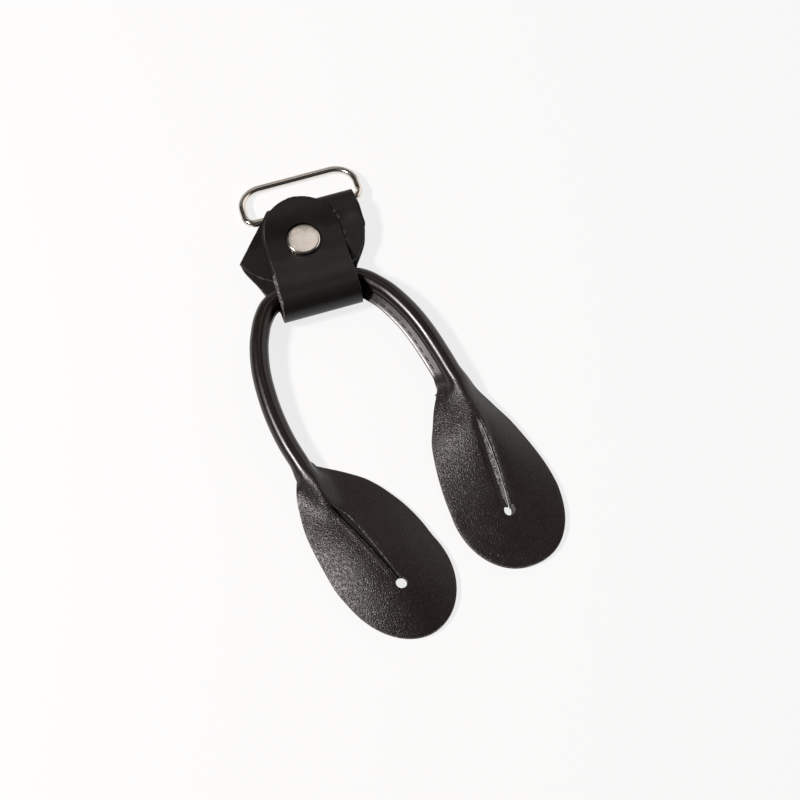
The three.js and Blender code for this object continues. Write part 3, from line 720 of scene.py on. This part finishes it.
def section_at(tab, down, centre_z, seam, proud):
    """One ring of points between roll and leaf, as (side, height)."""
    opened = ease(down, OPEN_START, OPEN_END)
    neck = ease(down, OPEN_START, -NECK_BACK + 1)
    inner, outer = edge_width(tab, "inner", down), edge_width(tab, "outer", down)
    wide = max((outer + tab["neck_side"]) / ROLL_RADIUS, 1.0)
    proud = mix(proud, max(inner - tab["neck_side"] - ROLL_RADIUS, proud * 0.6), neck)
    seam = mix(seam, NECK_SEAM[tab["inward"]], neck)
    roll = roll_section(tab["neck_side"], centre_z, seam, proud, mix(1, wide, neck))
    if opened == 0:
        return roll
    leaf = leaf_section(tab, down)
    return [(mix(a[0], b[0], opened), mix(a[1], b[1], opened)) for a, b in zip(roll, leaf)]


def half_rows(tab):
    """All rows of one half, from the crown along the leg and the tab to the tip."""
    to_left = tab["inward"] == 1
    leg = CROWN_LENGTH if to_left else LOOP_LENGTH - CROWN_LENGTH
    rows = []
    steps = round(leg / LEG_STEP)
    for i in range(steps):
        before_neck = leg * (1 - i / steps) - CROWN_GAP * (i == 0)
        length = before_neck if to_left else LOOP_LENGTH - before_neck
        centre, inside = loop_place(length)
        inside = inside.lerp(inside_of(tab), 1 - ease(before_neck, 0, 9)).normalized()
        seam, proud = seam_at(length)
        middle = centre - inside * tab["neck_side"]
        ring = section_at(tab, -NECK_BACK - before_neck, centre.z, seam, proud)
        rows.append([(middle.x + inside.x * side, middle.y + inside.y * side, z) for side, z in ring])
    seam, proud = seam_at(0 if to_left else LOOP_LENGTH)
    steps = round((NECK_BACK - WIDEST_BACK) / TAB_STEP)
    downs = [mix(-NECK_BACK, -WIDEST_BACK, i / steps) for i in range(steps)]
    steps = round(1.6 * (TIP_REACH + WIDEST_BACK) / TAB_STEP)
    downs += [mix(-WIDEST_BACK, TIP_REACH, sin(pi / 2 * i / steps)) for i in range(steps + 1)]
    for down in downs:
        ring = section_at(tab, down, NECK_Z, seam, proud)
        rows.append([(*tab_place(tab, down, side), z) for side, z in ring])
    return rows


# %% The two halves of the leather
GRAIN, RAW, FLESH, DYED_OR_SHADED = 0, 1, 2, 3
HALF_COLUMNS = ([GRAIN] * SECTION_UPPER + [RAW] * EDGE_POINTS + [FLESH] * LOWER_ROW
                + [RAW] * EDGE_POINTS + [GRAIN])


def leather_half(name, tab):
    """One half of the leather: grain outside, fibres on the cut edges, flesh side under the tab."""
    piece = lay_sheet(name, half_rows(tab), [loop_leather, cut_edge, flesh_side], HALF_COLUMNS)
    for face in piece.data.polygons:
        if is_rolled(tab, face.center, face.material_index):
            face.material_index = GRAIN
    return piece


def is_rolled(tab, place, finish):
    """True for places at and before the neck that show grain: all but the seam's raw edge."""
    neck = Vector((*tab_place(tab, -NECK_BACK, tab["neck_side"]), 0)) * MM
    beyond = (place - neck).dot(tip_of(tab)) / MM
    if beyond > 0 and finish == RAW:
        return beyond < 5 and (place - neck).dot(inside_of(tab)) < 0
    if beyond > 0:
        return beyond < 3
    if finish != RAW:
        return True
    i = min(range(len(loop_line)), key=lambda k: (loop_line[k] * MM - place).length)
    return (place - loop_line[i] * MM).dot(loop_place(loop_lengths[i])[1]) < 0


left_leather = leather_half("left_leather", LEFT_TAB)
right_leather = leather_half("right_leather", RIGHT_TAB)
report(left_leather)
report(right_leather)

# %% Bore the roll for its cord
BORE_RADIUS, BORE_STEP, BORE_SIDES, CORD_END = 1.75, 1.2, 20, 3.5


def tube_rows(start, end, step, radius, sides, offset=None):
    """Rings round the loop's line between two lengths. The offset may move each ring off the line."""
    rows = []
    count = max(round(abs(end - start) / step), 1)
    angles = [2 * pi * k / sides for k in range(sides)]
    for i in range(count + 1):
        length = mix(start, end, i / count)
        centre, inside = loop_place(length)
        out, up = offset(length) if offset else (0.0, 0.0)
        rows.append([(centre.x + inside.x * (out + radius * cos(a)),
                      centre.y + inside.y * (out + radius * cos(a)),
                      centre.z + up + radius * sin(a)) for a in angles])
    return rows


for piece, start, end in ((left_leather, CORD_END, CROWN_LENGTH + 1),
                          (right_leather, CROWN_LENGTH - 1, LOOP_LENGTH - CORD_END)):
    rows = tube_rows(start, end, BORE_STEP, BORE_RADIUS, BORE_SIDES)
    cut_away(piece, lay_sheet("bore_cutter", rows, [flesh_side]))
    report(piece)

# %% [markdown]
# ## Slits and holes
# Each tab has a slit that ends in a punched hole, so that a button can be pushed through. The slit was
# cut with a leaning knife: its left wall is upright and its right wall leans back, so that it is seen
# from above. On the right tab it shows pale fibres. On the left one the wall is given the dark flesh
# side as painted shade, and only the lips are pale. The pale lips of both slits are also a painted
# highlight. A wedge that follows the slit cuts it, and a leaning cylinder cuts the hole.

# %% Cut the slits
LIP, SLIT_STEPS, SLIT_LEFT = 0.2, 26, 0.12
HOLE_RADIUS, HOLE_DEPTH, HOLE_MIDDLE = 1.45, 12, 3.5
ABOVE, BELOW = 9, -1
LIP_HIGHLIGHT_COLUMN, WALL_COLUMN = 0, 1


def slit_cutter(tab, bow, widths, wall, inside):
    """A wedge along the slit, from its point to the hole, with bevelled lips in pale cut edge, which also
    paints the highlight along them. Bow is how far the slit is bent, widths are pairs (share, mm), wall is
    its width at the bottom and inside the finish of its wall."""
    rows = []
    for i in range(SLIT_STEPS + 1):
        share = i / SLIT_STEPS
        down = mix(-SLIT_LENGTH, 0, share)
        middle = bow * 4 * share * (1 - share) * tab["inward"]
        width = along(widths, share)
        left = middle - SLIT_LEFT * min(1, share * 8) * tab["inward"]
        right = left + width * tab["inward"]
        low = left + min(wall, width * 0.6) * tab["inward"]
        lip = LIP * min(1, share * 6) * tab["inward"]
        left_top, right_top = leaf_top(tab, down, left), leaf_top(tab, down, right)
        ring = [(left - lip, ABOVE), (right + lip, ABOVE), (right + lip, right_top + 0.02),
                (right, right_top - LIP), (low, left_top - LEATHER), (low, BELOW), (left, BELOW),
                (left, left_top - LIP), (left - lip, left_top + 0.02)]
        rows.append([(*tab_place(tab, down, side), z) for side, z in ring])
    # The lip faces take the pale cut edge: raw fibres that also serve as a painted highlight along the lips.
    columns = [LIP_HIGHLIGHT_COLUMN] * 3 + [WALL_COLUMN] * 4 + [LIP_HIGHLIGHT_COLUMN] * 2
    return lay_sheet("slit_cutter", rows, [cut_edge, inside], columns)


def hole_cutter(tab, lean, back=0.0):
    """A cylinder that leans sideways, moved back towards the neck by some mm."""
    x, y = tab["hole"]
    bpy.ops.object.select_all(action="DESELECT")
    bpy.ops.mesh.primitive_cylinder_add(vertices=64, radius=HOLE_RADIUS * MM, depth=HOLE_DEPTH * MM,
                                        location=(x * MM, (y + back) * MM, HOLE_MIDDLE * MM))
    cutter = bpy.context.object
    cutter.data.materials.append(cut_edge)
    bpy.ops.object.transform_apply(location=True, rotation=True, scale=True)
    for vertex in cutter.data.vertices:
        vertex.co.x += lean * (vertex.co.z - leaf_top(tab, 0, 0) * MM)
    return cutter


TIGHT_END = -41
RIGHT_SLIT = [(0, 0.08), (0.1, 0.45), (0.28, 0.8), (0.6, 0.55), (1, 0.36)]
LEFT_SLIT = [(0, 0.1), (0.06, 1.0), (0.18, 1.7), (0.5, 1.2), (1, 0.6)]
# On the left tab the slit's wall takes the dark flesh side as painted shade.
cut_away(left_leather, slit_cutter(LEFT_TAB, bow=0.25, widths=LEFT_SLIT, wall=0.12, inside=flesh_side))
cut_away(right_leather, slit_cutter(RIGHT_TAB, bow=0.8, widths=RIGHT_SLIT, wall=0.25, inside=cut_edge))
cut_away(left_leather, hole_cutter(LEFT_TAB, lean=0.12))
cut_away(right_leather, hole_cutter(RIGHT_TAB, lean=0.8, back=0.8))
for piece, tab in ((left_leather, LEFT_TAB), (right_leather, RIGHT_TAB)):
    shade(piece)
    opened = piece.data.attributes.new("open", "FLOAT", "POINT")
    hole, tip = Vector((*tab["hole"], 0)), tip_of(tab)
    opened.data.foreach_set("value", [ease((v.co / MM - hole).dot(tip), TIGHT_END, OPEN_END)
                                      for v in piece.data.vertices])
    report(piece)

# %% [markdown]
# ## The cord in the roll
# A rolled leather loop is made on a cord, which keeps it round. It is hidden, but it is what makes the
# roll firm: a cotton cord of three twisted strands. Each strand is a tube that winds round the loop's
# line, which is simpler than twisting a straight cord and bending it afterwards.

# %% Twist the cord
cotton = fibre_material("cotton_cord", (0.3, 0.26, 0.19, 1), (0.5, 0.46, 0.37, 1),
                        density=5200.0, contrast=1.0, depth=0.00004, rough=0.9)
STRANDS, STRAND_RADIUS, STRAND_SIDES, STRAND_STEP = 3, 0.8, 10, 0.9
STRAND_OFFSET, TWIST_PITCH, CORD_PLAY = 0.9, 9.0, 0.2


def join_pieces(pieces, name):
    """Joins pieces into the first, which gets a new name."""
    bpy.ops.object.select_all(action="DESELECT")
    for piece in pieces:
        piece.select_set(True)
    bpy.context.view_layer.objects.active = pieces[0]
    bpy.ops.object.join()
    bpy.ops.object.transform_apply(location=True, rotation=True, scale=True)
    pieces[0].name = name
    return pieces[0]


def strand_offset(number):
    """How far one strand lies off the loop's line at a length, to the side and up."""
    def offset(length):
        angle = 2 * pi * (length / TWIST_PITCH + number / STRANDS)
        return STRAND_OFFSET * cos(angle), STRAND_OFFSET * sin(angle)
    return offset


cord_ends = CORD_END + CORD_PLAY, LOOP_LENGTH - CORD_END - CORD_PLAY
strands = [lay_sheet("strand", tube_rows(*cord_ends, STRAND_STEP, STRAND_RADIUS, STRAND_SIDES,
                                         strand_offset(k)), [cotton]) for k in range(STRANDS)]
cord_core = join_pieces(strands, "twisted_cord_core")
shade(cord_core, 60)
report(cord_core)

# %% [markdown]
# ## The stitches
# The two edges of the rolled leather are stitched together with waxed black thread. Each stitch is a
# short thread that sinks in at both ends, so a small sphere is drawn out along the seam, and copied
# on to both faces of the seam. A knot ends the seam at the right neck.

# %% Sew the seam
def thread_material():
    """Waxed thread: dark plies that wind round each stitch."""
    material, tree = empty_material("waxed_black_thread")
    plies = add_node(tree, "ShaderNodeTexWave", {
        "Vector": object_place(tree), "Scale": 900.0, "Distortion": 1.5},
        wave_type="BANDS", bands_direction="DIAGONAL").outputs["Fac"]
    colour = mix_colours(tree, plies, (0.008, 0.007, 0.006, 1), (0.03, 0.026, 0.023, 1))
    end_tree(tree, add_node(tree, "ShaderNodeBsdfPrincipled", {
        "Base Color": colour, "Roughness": 0.5, "Normal": bump(tree, plies, 0.00003)}))
    return material


thread = thread_material()
STITCH_STEP, STITCH_HALF, THREAD_RADIUS, STITCH_SUNK = 2.9, 1.1, 0.2, 0.05


def add_stitch(place, heading, half=STITCH_HALF, lean=0.0):
    """One stitch at a place in mm, with its heading in the plan and its half length."""
    bpy.ops.object.select_all(action="DESELECT")
    bpy.ops.mesh.primitive_uv_sphere_add(
        segments=8, ring_count=6, radius=MM, location=place * MM, rotation=(0, lean, heading),
        scale=(half, THREAD_RADIUS, THREAD_RADIUS))
    return bpy.context.object


def seam_stitches(name, start, end):
    """Stitches on both faces of the seam between two lengths of the loop."""
    stitches = []
    count = int((end - start) / STITCH_STEP)
    for i in range(count + 1):
        length = start + i * STITCH_STEP
        centre, inside = loop_place(length)
        seam, proud = seam_at(length)
        out = ROLL_RADIUS + 0.5 * proud
        for across in (SEAM_THICK / 2 - STITCH_SUNK, -SEAM_THICK / 2 + STITCH_SUNK):
            side, up = out * cos(seam) - across * sin(seam), out * sin(seam) + across * cos(seam)
            place = centre + inside * side + Vector((0, 0, up))
            stitches.append(add_stitch(place, atan2(inside.x, -inside.y)))
    piece = join_pieces(stitches, name)
    piece.data.materials.append(thread)
    shade(piece, 60)
    report(piece)
    return piece


left_stitches = seam_stitches("left_seam_stitches", 6, CROWN_LENGTH - 1)
right_stitches = seam_stitches("right_seam_stitches", CROWN_LENGTH + 1, LOOP_LENGTH - 1.5)

# %% Knot at the end of the seam
KNOT_DOWN = -36.6
ring = section_at(RIGHT_TAB, KNOT_DOWN, NECK_Z, *seam_at(LOOP_LENGTH))
side, up = ring[SECTION_UPPER + 2]
knot_place = Vector((*tab_place(RIGHT_TAB, KNOT_DOWN, side), up + 0.1))
turns = [add_stitch(knot_place + Vector((0.12 * cos(a), 0.2 * sin(a), 0.1 * k)), a, 0.5,
                    0.5 * (-1) ** k) for k, a in enumerate((0.3, 1.3, 2.2, 2.9))]
turns += [add_stitch(knot_place + Vector((-0.1, -0.9, -0.15)), -1.4, 0.8, 0.3)]
seam_knot = join_pieces(turns, "seam_end_knot")
seam_knot.data.materials.append(thread)
shade(seam_knot, 60)
report(seam_knot)

# %% [markdown]
# ## The hanger
# The hanger is one strap of smooth leather, folded twice. Its middle layer starts free, goes round
# the ring's bar, becomes the back layer with its wings, goes round the rolled loop and comes up as the
# front flap with a rounded end. The flap's left edge was cut at a slant, the middle layer lies flush
# with the flap on the right, and the rivet presses the flap down round its cap. The strap could be
# bent from a flat strip with modifiers, but it is laid along one line, with its own width at every
# place, so that each layer stays where the CAD model has it.

# %% Line of the strap, in mm
FLOOR_GAP, LAYER_GAP = 0.3, 0.2
STRAP_HALF = 21.5 / 2
WING_LEFT, WING_RIGHT, WING_BACK, WING_LIFT = 17.9, 17.2, 0.2, 0.8
MIDDLE_LEFT, TOP_CORNER = 18.0, 16.7
TOP_FOLD, BOTTOM_FOLD, FOLD_SKEW = 9.6, 17.6, 0.6
MIDDLE_END, MIDDLE_CLOSE, FLAP_END, FLAP_SHOULDER = 10.7, 9, 12.4, 1.2
CAP_RADIUS = 4.5
WIRE, BAR_PLAY = 1.0, 0.15
BACK_Z = FLOOR_GAP + LEATHER / 2
MIDDLE_Z = BACK_Z + LEATHER + LAYER_GAP
FLAP_Z = MIDDLE_Z + LEATHER + LAYER_GAP
BAR_Z = FLOOR_GAP + LEATHER + BAR_PLAY + WIRE
TOP_BEND = WIRE + BAR_PLAY + LEATHER / 2
TUNNEL_Z = CROWN_Z
BOTTOM_BEND = 3.2 + LEATHER / 2
FOLD_OUTER_Y = TOP_FOLD + TOP_BEND + LEATHER / 2
BACK_LEFT = [(0, 1), (0.16, 0.92), (0.45, 0.57), (0.67, 0.35), (0.85, 0.12), (1, 0)]
BACK_RIGHT = [(0, 0.97), (0.22, 0.78), (0.42, 0.46), (0.55, 0.24), (0.71, 0.12), (1, 0)]
BLUNT = 0.12
FLAP_RISE = [(-17.6, 8.65), (-15.6, 8.5), (-13.5, 7.9), (-10, 6.3), (-7, 4.95), (-4.6, 4.2), (-2.4, 3.96),
             (0, 3.95), (1.2, 3.95)]


def climb(share):
    """A smooth step from 0 to 1."""
    return (1 - cos(pi * share)) / 2


def strap_line():
    """The strap's middle line as (layer, y, z), from its free end to the flap's rounded end."""
    line = []

    def level(layer, start, end, z, steps):
        line.extend((layer, mix(start, end, i / steps), z) for i in range(steps))

    def slope(layer, start, end, low, high, steps):
        line.extend((layer, mix(start, end, i / steps), mix(low, high, climb(i / steps)))
                    for i in range(steps))

    def bend(layer, y, z, radius, start, end, steps):
        for i in range(steps):
            angle = mix(start, end, i / steps)
            line.append((layer, y + radius * cos(angle), z + radius * sin(angle)))

    line.extend(("middle", -MIDDLE_END * cos(pi / 2 * i / 18), MIDDLE_Z) for i in range(18))
    level("middle", 0, FLAP_SHOULDER, MIDDLE_Z, 3)
    slope("middle", FLAP_SHOULDER, TOP_FOLD, MIDDLE_Z, BAR_Z + TOP_BEND, 18)
    bend("middle", TOP_FOLD, BAR_Z, TOP_BEND, pi / 2, -pi / 2, 16)
    level("back", TOP_FOLD, -BOTTOM_FOLD, BACK_Z, 40)
    bend("flap", -BOTTOM_FOLD, TUNNEL_Z, BOTTOM_BEND, -pi / 2, -1.5 * pi, 26)
    line.extend(("flap", y, along(FLAP_RISE, y)) for y in
                (mix(-BOTTOM_FOLD, FLAP_SHOULDER, i / 36) for i in range(36)))
    line.extend(("flap", y, flap_height(y)) for y in
                (mix(FLAP_SHOULDER, FLAP_END, sin(pi / 2 * i / 22)) for i in range(23)))
    return line


def flap_height(y):
    """Height of the flap past the rivet, where it lies on the middle layer as that rises."""
    share = min((y - FLAP_SHOULDER) / (TOP_FOLD - FLAP_SHOULDER), 1)
    rise = BAR_Z + TOP_BEND - MIDDLE_Z
    steep = rise * pi * sin(pi * share) / 2 / (TOP_FOLD - FLAP_SHOULDER)
    return MIDDLE_Z + rise * climb(share) + (LEATHER + LAYER_GAP) * hypot(1, steep)


def rounded(share):
    """Half width of a rounded end at a share of the way to its tip, which stays a little blunt."""
    return max(sqrt(max(0, 1 - max(0, share) ** 2)), BLUNT)


def strap_edges(layer, y):
    """The strap's left and right edges at a place on its line."""
    skew = FOLD_SKEW * ease(-y, 0, BOTTOM_FOLD)
    past_cut = -WING_LEFT - 1.2 * max(0.0, min(y + WING_BACK, 3.0))
    shoulder = mix(WING_RIGHT, TOP_CORNER, ease(y, MIDDLE_END / 2, FOLD_OUTER_Y))
    down = (-y - WING_BACK) / (BOTTOM_FOLD - WING_BACK)
    wing_right = mix(STRAP_HALF, WING_RIGHT, along(BACK_RIGHT, min(max(down, 0), 1)))
    if layer == "middle":
        if y >= 0:
            return -MIDDLE_LEFT - 0.4 * min(y, 3.0), shoulder
        close = rounded((-y - MIDDLE_CLOSE) / (MIDDLE_END - MIDDLE_CLOSE))
        return -MIDDLE_LEFT * rounded(-y / MIDDLE_END), (wing_right - skew) * close
    if layer == "back":
        left = past_cut if down < 0 else -mix(STRAP_HALF, WING_LEFT, along(BACK_LEFT, down))
        return left - skew, (shoulder - 0.1 if down < 0 else wing_right) - skew
    half = STRAP_HALF * rounded((y - FLAP_SHOULDER) / (FLAP_END - FLAP_SHOULDER))
    return -half - skew, half - skew


# %% Lay the strap
STRAP_COLUMNS = 64
CUP_LEFT, CUP_RIGHT = 0.75, 0.1
DIMPLE_DEPTH, DIMPLE_WIDTH, FLAP_NICK = 0.22, 1.6, 0.05
SLANT = [(-21.4, 0.2), (-20, 0.35), (-17, 0.6), (-14, 0.75), (-9, 0.8), (-6, 0.7), (0, 0.6), (5, 0.5),
         (9, 0.2)]


def dimple(x, y):
    """How far the rivet presses the flap down beside its cap."""
    away = max(hypot(x, y) - CAP_RADIUS, 0.0)
    return -DIMPLE_DEPTH * exp(-(away / DIMPLE_WIDTH) ** 2)


def strap_rows():
    """Rings of points round the strap's section, one for each point of its line."""
    line = strap_line()
    rows = []
    for i, (layer, y, z) in enumerate(line):
        (_, y0, z0), (_, y1, z1) = line[max(i - 1, 0)], line[min(i + 1, len(line) - 1)]
        length = hypot(y1 - y0, z1 - z0)
        out_y, out_z = -(z1 - z0) / length * LEATHER / 2, (y1 - y0) / length * LEATHER / 2
        left, right = strap_edges(layer, y)
        slanted = layer == "flap" and z > TUNNEL_Z - 1
        slant, nick = (along(SLANT, y), FLAP_NICK) if slanted else (0.0, 0.0)
        xs = [mix(left + EDGE_ROUND, right - EDGE_ROUND, j / STRAP_COLUMNS)
              for j in range(STRAP_COLUMNS + 1)]

        def point(x, across):
            """A point above (1) or below (-1) the line, on leather that is stepped, curled or cupped."""
            bent = 0.0
            if layer == "middle" and y < TOP_FOLD:
                edge = strap_edges("flap", y)[1]
                step = (LEATHER + LAYER_GAP - 0.12) * ease(x, edge - 0.7, edge + 0.25)
                curl = WING_LIFT * ease(abs(x), STRAP_HALF, WING_RIGHT + 1)
                bent = step * (1 - ease(y, 5, TOP_FOLD)) + curl * (1 - ease(y, 2, TOP_FOLD))
            if layer == "flap" and y > -BOTTOM_FOLD:
                cup = CUP_LEFT if x < 0 else CUP_RIGHT
                bent = cup * (abs(x) / STRAP_HALF) ** 3 * ease(y, -BOTTOM_FOLD + 2, -9)
                bent = bent * (1 - ease(y, 5, 12)) + dimple(x, y) * (across > 0)
            return x, y + out_y * across, z + out_z * across + bent

        inset = 1 - 2 * EDGE_ROUND / LEATHER
        corner, shy = 1 - 0.6 * EDGE_ROUND / LEATHER, EDGE_ROUND * 0.3
        span = right - left - 2 * EDGE_ROUND
        upper = [point(mix(x + slant, x - nick, (x - xs[0]) / span), 1) for x in xs]
        raw_right = [point(right - shy - nick, corner), point(right - nick / 2, inset), point(right, -inset),
                     point(right - shy, -corner)]
        lower = [point(x, -1) for x in reversed(xs)]
        raw_left = [point(left + shy, -corner), point(left, -inset), point(left + slant * 0.85, inset),
                    point(left + slant + shy, 1 if layer == "middle" else corner)]
        rows.append(upper + raw_right + lower + raw_left)
    return rows


STRAP_PATTERN = ([GRAIN] * (STRAP_COLUMNS + 1) + [RAW] * 4 + [FLESH] * STRAP_COLUMNS
                 + [RAW] * 4 + [GRAIN])
hanger = lay_sheet("folded_hanger", strap_rows(), [hanger_leather, cut_edge, flesh_side, dye_and_painted_shade],
                   STRAP_PATTERN)
# The flap's edges are dyed, but for the lower part of its left edge. On the upper part of that edge the
# dark material is also painted shade, for the shadow gap beside the lifted flap. Under the flap, the
# dark material on the slopes and on the outermost left edges is painted shade.
for face in hanger.data.polygons:
    x, y, z = face.center / MM
    if z > FLAP_Z - LEATHER / 2 - 0.05:
        dark_edge_above = -4 if face.normal.z > 0.75 else -9.5
        dark = face.material_index == RAW and (x > 0 or y > dark_edge_above)
    else:
        dark = x < -10 and 0 < face.normal.z < 0.9 or face.material_index == RAW and x < -14.5
    if dark:
        face.material_index = DYED_OR_SHADED
report(hanger)

# %% Cut off the corner
# The cut runs along the line of sight, so both layers end at the same line in the picture.
CUT_TOP, CUT_SIDE = Vector((-7.75, 11.6, 2.0)) * MM, Vector((-17.9, -0.2, 1.0)) * MM
cut_normal = (CUT_TOP - CAMERA_PLACE).cross(CUT_SIDE - CAMERA_PLACE).normalized()
if cut_normal.dot(Vector((-1, 1, 0))) < 0:
    cut_normal.negate()
select_only(hanger)
bpy.ops.object.mode_set(mode="EDIT")
bpy.ops.mesh.select_all(action="SELECT")
bpy.ops.mesh.bisect(plane_co=CUT_TOP, plane_no=cut_normal, use_fill=True, clear_outer=True)
bpy.ops.object.mode_set(mode="OBJECT")
for face in hanger.data.polygons:
    off_cut = abs((face.center - CUT_TOP).dot(cut_normal))
    if abs(face.normal.dot(cut_normal)) > 0.999 and off_cut < 0.01 * MM:
        face.material_index = RAW
report(hanger)

# %% Hole for the rivet
RIVET_HOLE, PRESSED_RADIUS, PRESSED_DEPTH, BACK_ROOM = 1.6, 4.85, 0.35, 4.6


def round_cutter(radius, depth, middle, finish):
    """An upright cylinder on the rivet's axis."""
    bpy.ops.object.select_all(action="DESELECT")
    bpy.ops.mesh.primitive_cylinder_add(vertices=64, radius=radius * MM, depth=depth * MM,
                                        location=(0, 0, middle * MM))
    bpy.context.object.data.materials.append(finish)
    return bpy.context.object


cut_away(hanger, round_cutter(RIVET_HOLE, depth=12, middle=3, finish=cut_edge))
cut_away(hanger, round_cutter(PRESSED_RADIUS, depth=2, middle=FLAP_Z + LEATHER / 2 + 1 - PRESSED_DEPTH,
                              finish=hanger_leather))
cut_away(hanger, round_cutter(BACK_ROOM, depth=3.6, middle=-1, finish=cut_edge))
shade(hanger)
report(hanger)

# %% [markdown]
# ## The rivet
# A double-cap rivet has a thin domed cap in front, and a back cap with a stem that goes through all
# the layers. Both are pressed from sheet metal and round, so a profile is drawn and spun round the
# axis. A bevelled cylinder would have the same edge all round, without the rolled rim.

# %% Spin the rivet
def spun(name, profile, material, steps=96):
    """A closed round piece from a profile of (radius, z) in mm, both ends on the axis."""
    bpy.ops.object.select_all(action="DESELECT")
    bpy.ops.mesh.primitive_plane_add(size=0.001, location=(0, 0, 0))
    piece = bpy.context.object
    piece.name = name
    bpy.ops.object.mode_set(mode="EDIT")
    bpy.ops.mesh.select_all(action="SELECT")
    bpy.ops.mesh.merge(type="CENTER")
    bpy.ops.transform.translate(value=(profile[0][0] * MM, 0, profile[0][1] * MM))
    for (r0, z0), (r1, z1) in zip(profile, profile[1:]):
        bpy.ops.mesh.extrude_region_move(
            TRANSFORM_OT_translate={"value": ((r1 - r0) * MM, 0, (z1 - z0) * MM)})
    bpy.ops.mesh.select_all(action="SELECT")
    bpy.ops.mesh.spin(steps=steps, angle=2 * pi, center=(0, 0, 0), axis=(0, 0, 1))
    bpy.ops.mesh.select_all(action="SELECT")
    bpy.ops.mesh.remove_doubles(threshold=1e-6)
    bpy.ops.mesh.normals_make_consistent(inside=False)
    bpy.ops.object.mode_set(mode="OBJECT")
    piece.data.materials.append(material)
    return piece


CAP_TOP = 3.88


def cap_profile(seat):
    """From the middle underneath, round the upright rim, over the shoulder and the nearly flat top."""
    profile = [(0, seat + 0.05), (3.9, seat + 0.05), (4.2, seat)]
    profile += [(4.28 + 0.22 * sin(a), seat + 0.22 - 0.22 * cos(a))
                for a in (pi * k / 12 for k in range(1, 7))]
    profile += [(CAP_TOP + 0.62 * cos(a), seat + 0.38 + 0.46 * sin(a))
                for a in (pi / 2 * k / 10 for k in range(10))]
    profile += [(CAP_TOP * (1 - k / 12), seat + 0.84 + 0.13 * (1 - (1 - k / 12) ** 2)) for k in range(12)]
    return profile + [(0, seat + 0.97)]


CAP_SEAT = FLAP_Z + LEATHER / 2 - 0.15
rivet_cap = spun("rivet_front_cap", cap_profile(CAP_SEAT), nickel)
BACK_PROFILE = [(0, 0), (3.9, 0), (4.15, 0.03), (4.38, 0.14), (4.5, 0.35), (4.5, 0.7), (1.5, 0.7),
                (1.5, CAP_SEAT + 0.04), (0, CAP_SEAT + 0.04)]
rivet_post = spun("rivet_back_and_stem", BACK_PROFILE, nickel)
for piece in (rivet_cap, rivet_post):
    shade(piece, 30)
    report(piece)

# %% [markdown]
# ## The ring
# The ring is a bent and welded wire with a straight bar in the top fold and a rounded bow. A bevelled
# curve would do, but as elsewhere a section is laid along a line: here a round one, along a line
# that is tilted so that the bow rests on the surface.

# %% Bend the ring
RING_HALF, RING_REACH, RING_OFFSET = 16.0, 11.2, 2.9
BAR_CORNER, BOW_CORNER = 2.6, 6.0
WIRE_SIDES, BOW_LIFT = 20, 0.1


def ring_line():
    """The wire's middle line in its own plane, with the middle of the bar at the origin."""
    corners = [(RING_HALF - BAR_CORNER, BAR_CORNER, BAR_CORNER, -pi / 2),
               (RING_HALF - BOW_CORNER, RING_REACH - BOW_CORNER, BOW_CORNER, 0),
               (BOW_CORNER - RING_HALF, RING_REACH - BOW_CORNER, BOW_CORNER, pi / 2),
               (BAR_CORNER - RING_HALF, BAR_CORNER, BAR_CORNER, pi)]
    bends = [[(x + r * cos(start + pi / 2 * k / 16), y + r * sin(start + pi / 2 * k / 16))
              for k in range(17)] for x, y, r, start in corners]
    points = []
    for bend, following in zip(bends, bends[1:] + bends[:1]):
        points += bend
        (x0, y0), (x1, y1) = bend[-1], following[0]
        points += [(mix(x0, x1, k / 8), mix(y0, y1, k / 8)) for k in range(1, 8)]
    return points


def ring_rows():
    """Rings of points round the tilted wire."""
    points = ring_line()
    lean = -(BAR_Z - WIRE - BOW_LIFT) / RING_REACH
    tilt = atan2(lean, sqrt(1 - lean * lean))
    rows = []
    for i, (x, y) in enumerate(points):
        (x0, y0), (x1, y1) = points[i - 1], points[(i + 1) % len(points)]
        length = hypot(x1 - x0, y1 - y0)
        side = (-(y1 - y0) / length, (x1 - x0) / length)
        row = []
        for k in range(WIRE_SIDES):
            out, up = WIRE * cos(2 * pi * k / WIRE_SIDES), WIRE * sin(2 * pi * k / WIRE_SIDES)
            px, py = x + side[0] * out, y + side[1] * out
            row.append((px + RING_OFFSET, TOP_FOLD + py * cos(tilt) - up * sin(tilt),
                        BAR_Z + py * sin(tilt) + up * cos(tilt)))
        rows.append(row)
    return rows


ring = lay_sheet("wire_ring", ring_rows(), [nickel], closed=True)
shade(ring, 60)
report(ring)

# %% [markdown]
# ## Riding and replacing
# The hanger, the rivet, the ring, the cord and the left stitches ride on the body that carries them;
# the two halves of the leather, the right stitches and the knot are baked in place. The CAD nodes that
# the pieces stand for are hidden.

# %% Bodies and nodes
BEND_BEFORE, BEND_AFTER = 4, 6


def neck_ends(tab):
    """Two points on a tab's line at its neck, some mm before it and some mm after it."""
    return [Vector((*tab_place(tab, -NECK_BACK + down, tab["neck_side"]), NECK_Z)) * MM
            for down in (-BEND_BEFORE, BEND_AFTER)]


start, end = neck_ends(LEFT_TAB)
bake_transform(left_leather)
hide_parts("left_tab", "roll_leather")
start, end = neck_ends(RIGHT_TAB)
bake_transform(right_leather)
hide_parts("right_tab")
for piece in (right_stitches, seam_knot):
    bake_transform(piece)
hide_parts("seam_thread_upper", "seam_thread_lower")
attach(left_stitches, "loop")
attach(cord_core, "loop")
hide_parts("roll_core")
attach(hanger, "hanger")
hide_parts("hanger_strap")
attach(rivet_cap, "hanger")
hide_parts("rivet_cap")
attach(rivet_post, "hanger")
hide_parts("rivet_post")
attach(ring, "ring")
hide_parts("ring")
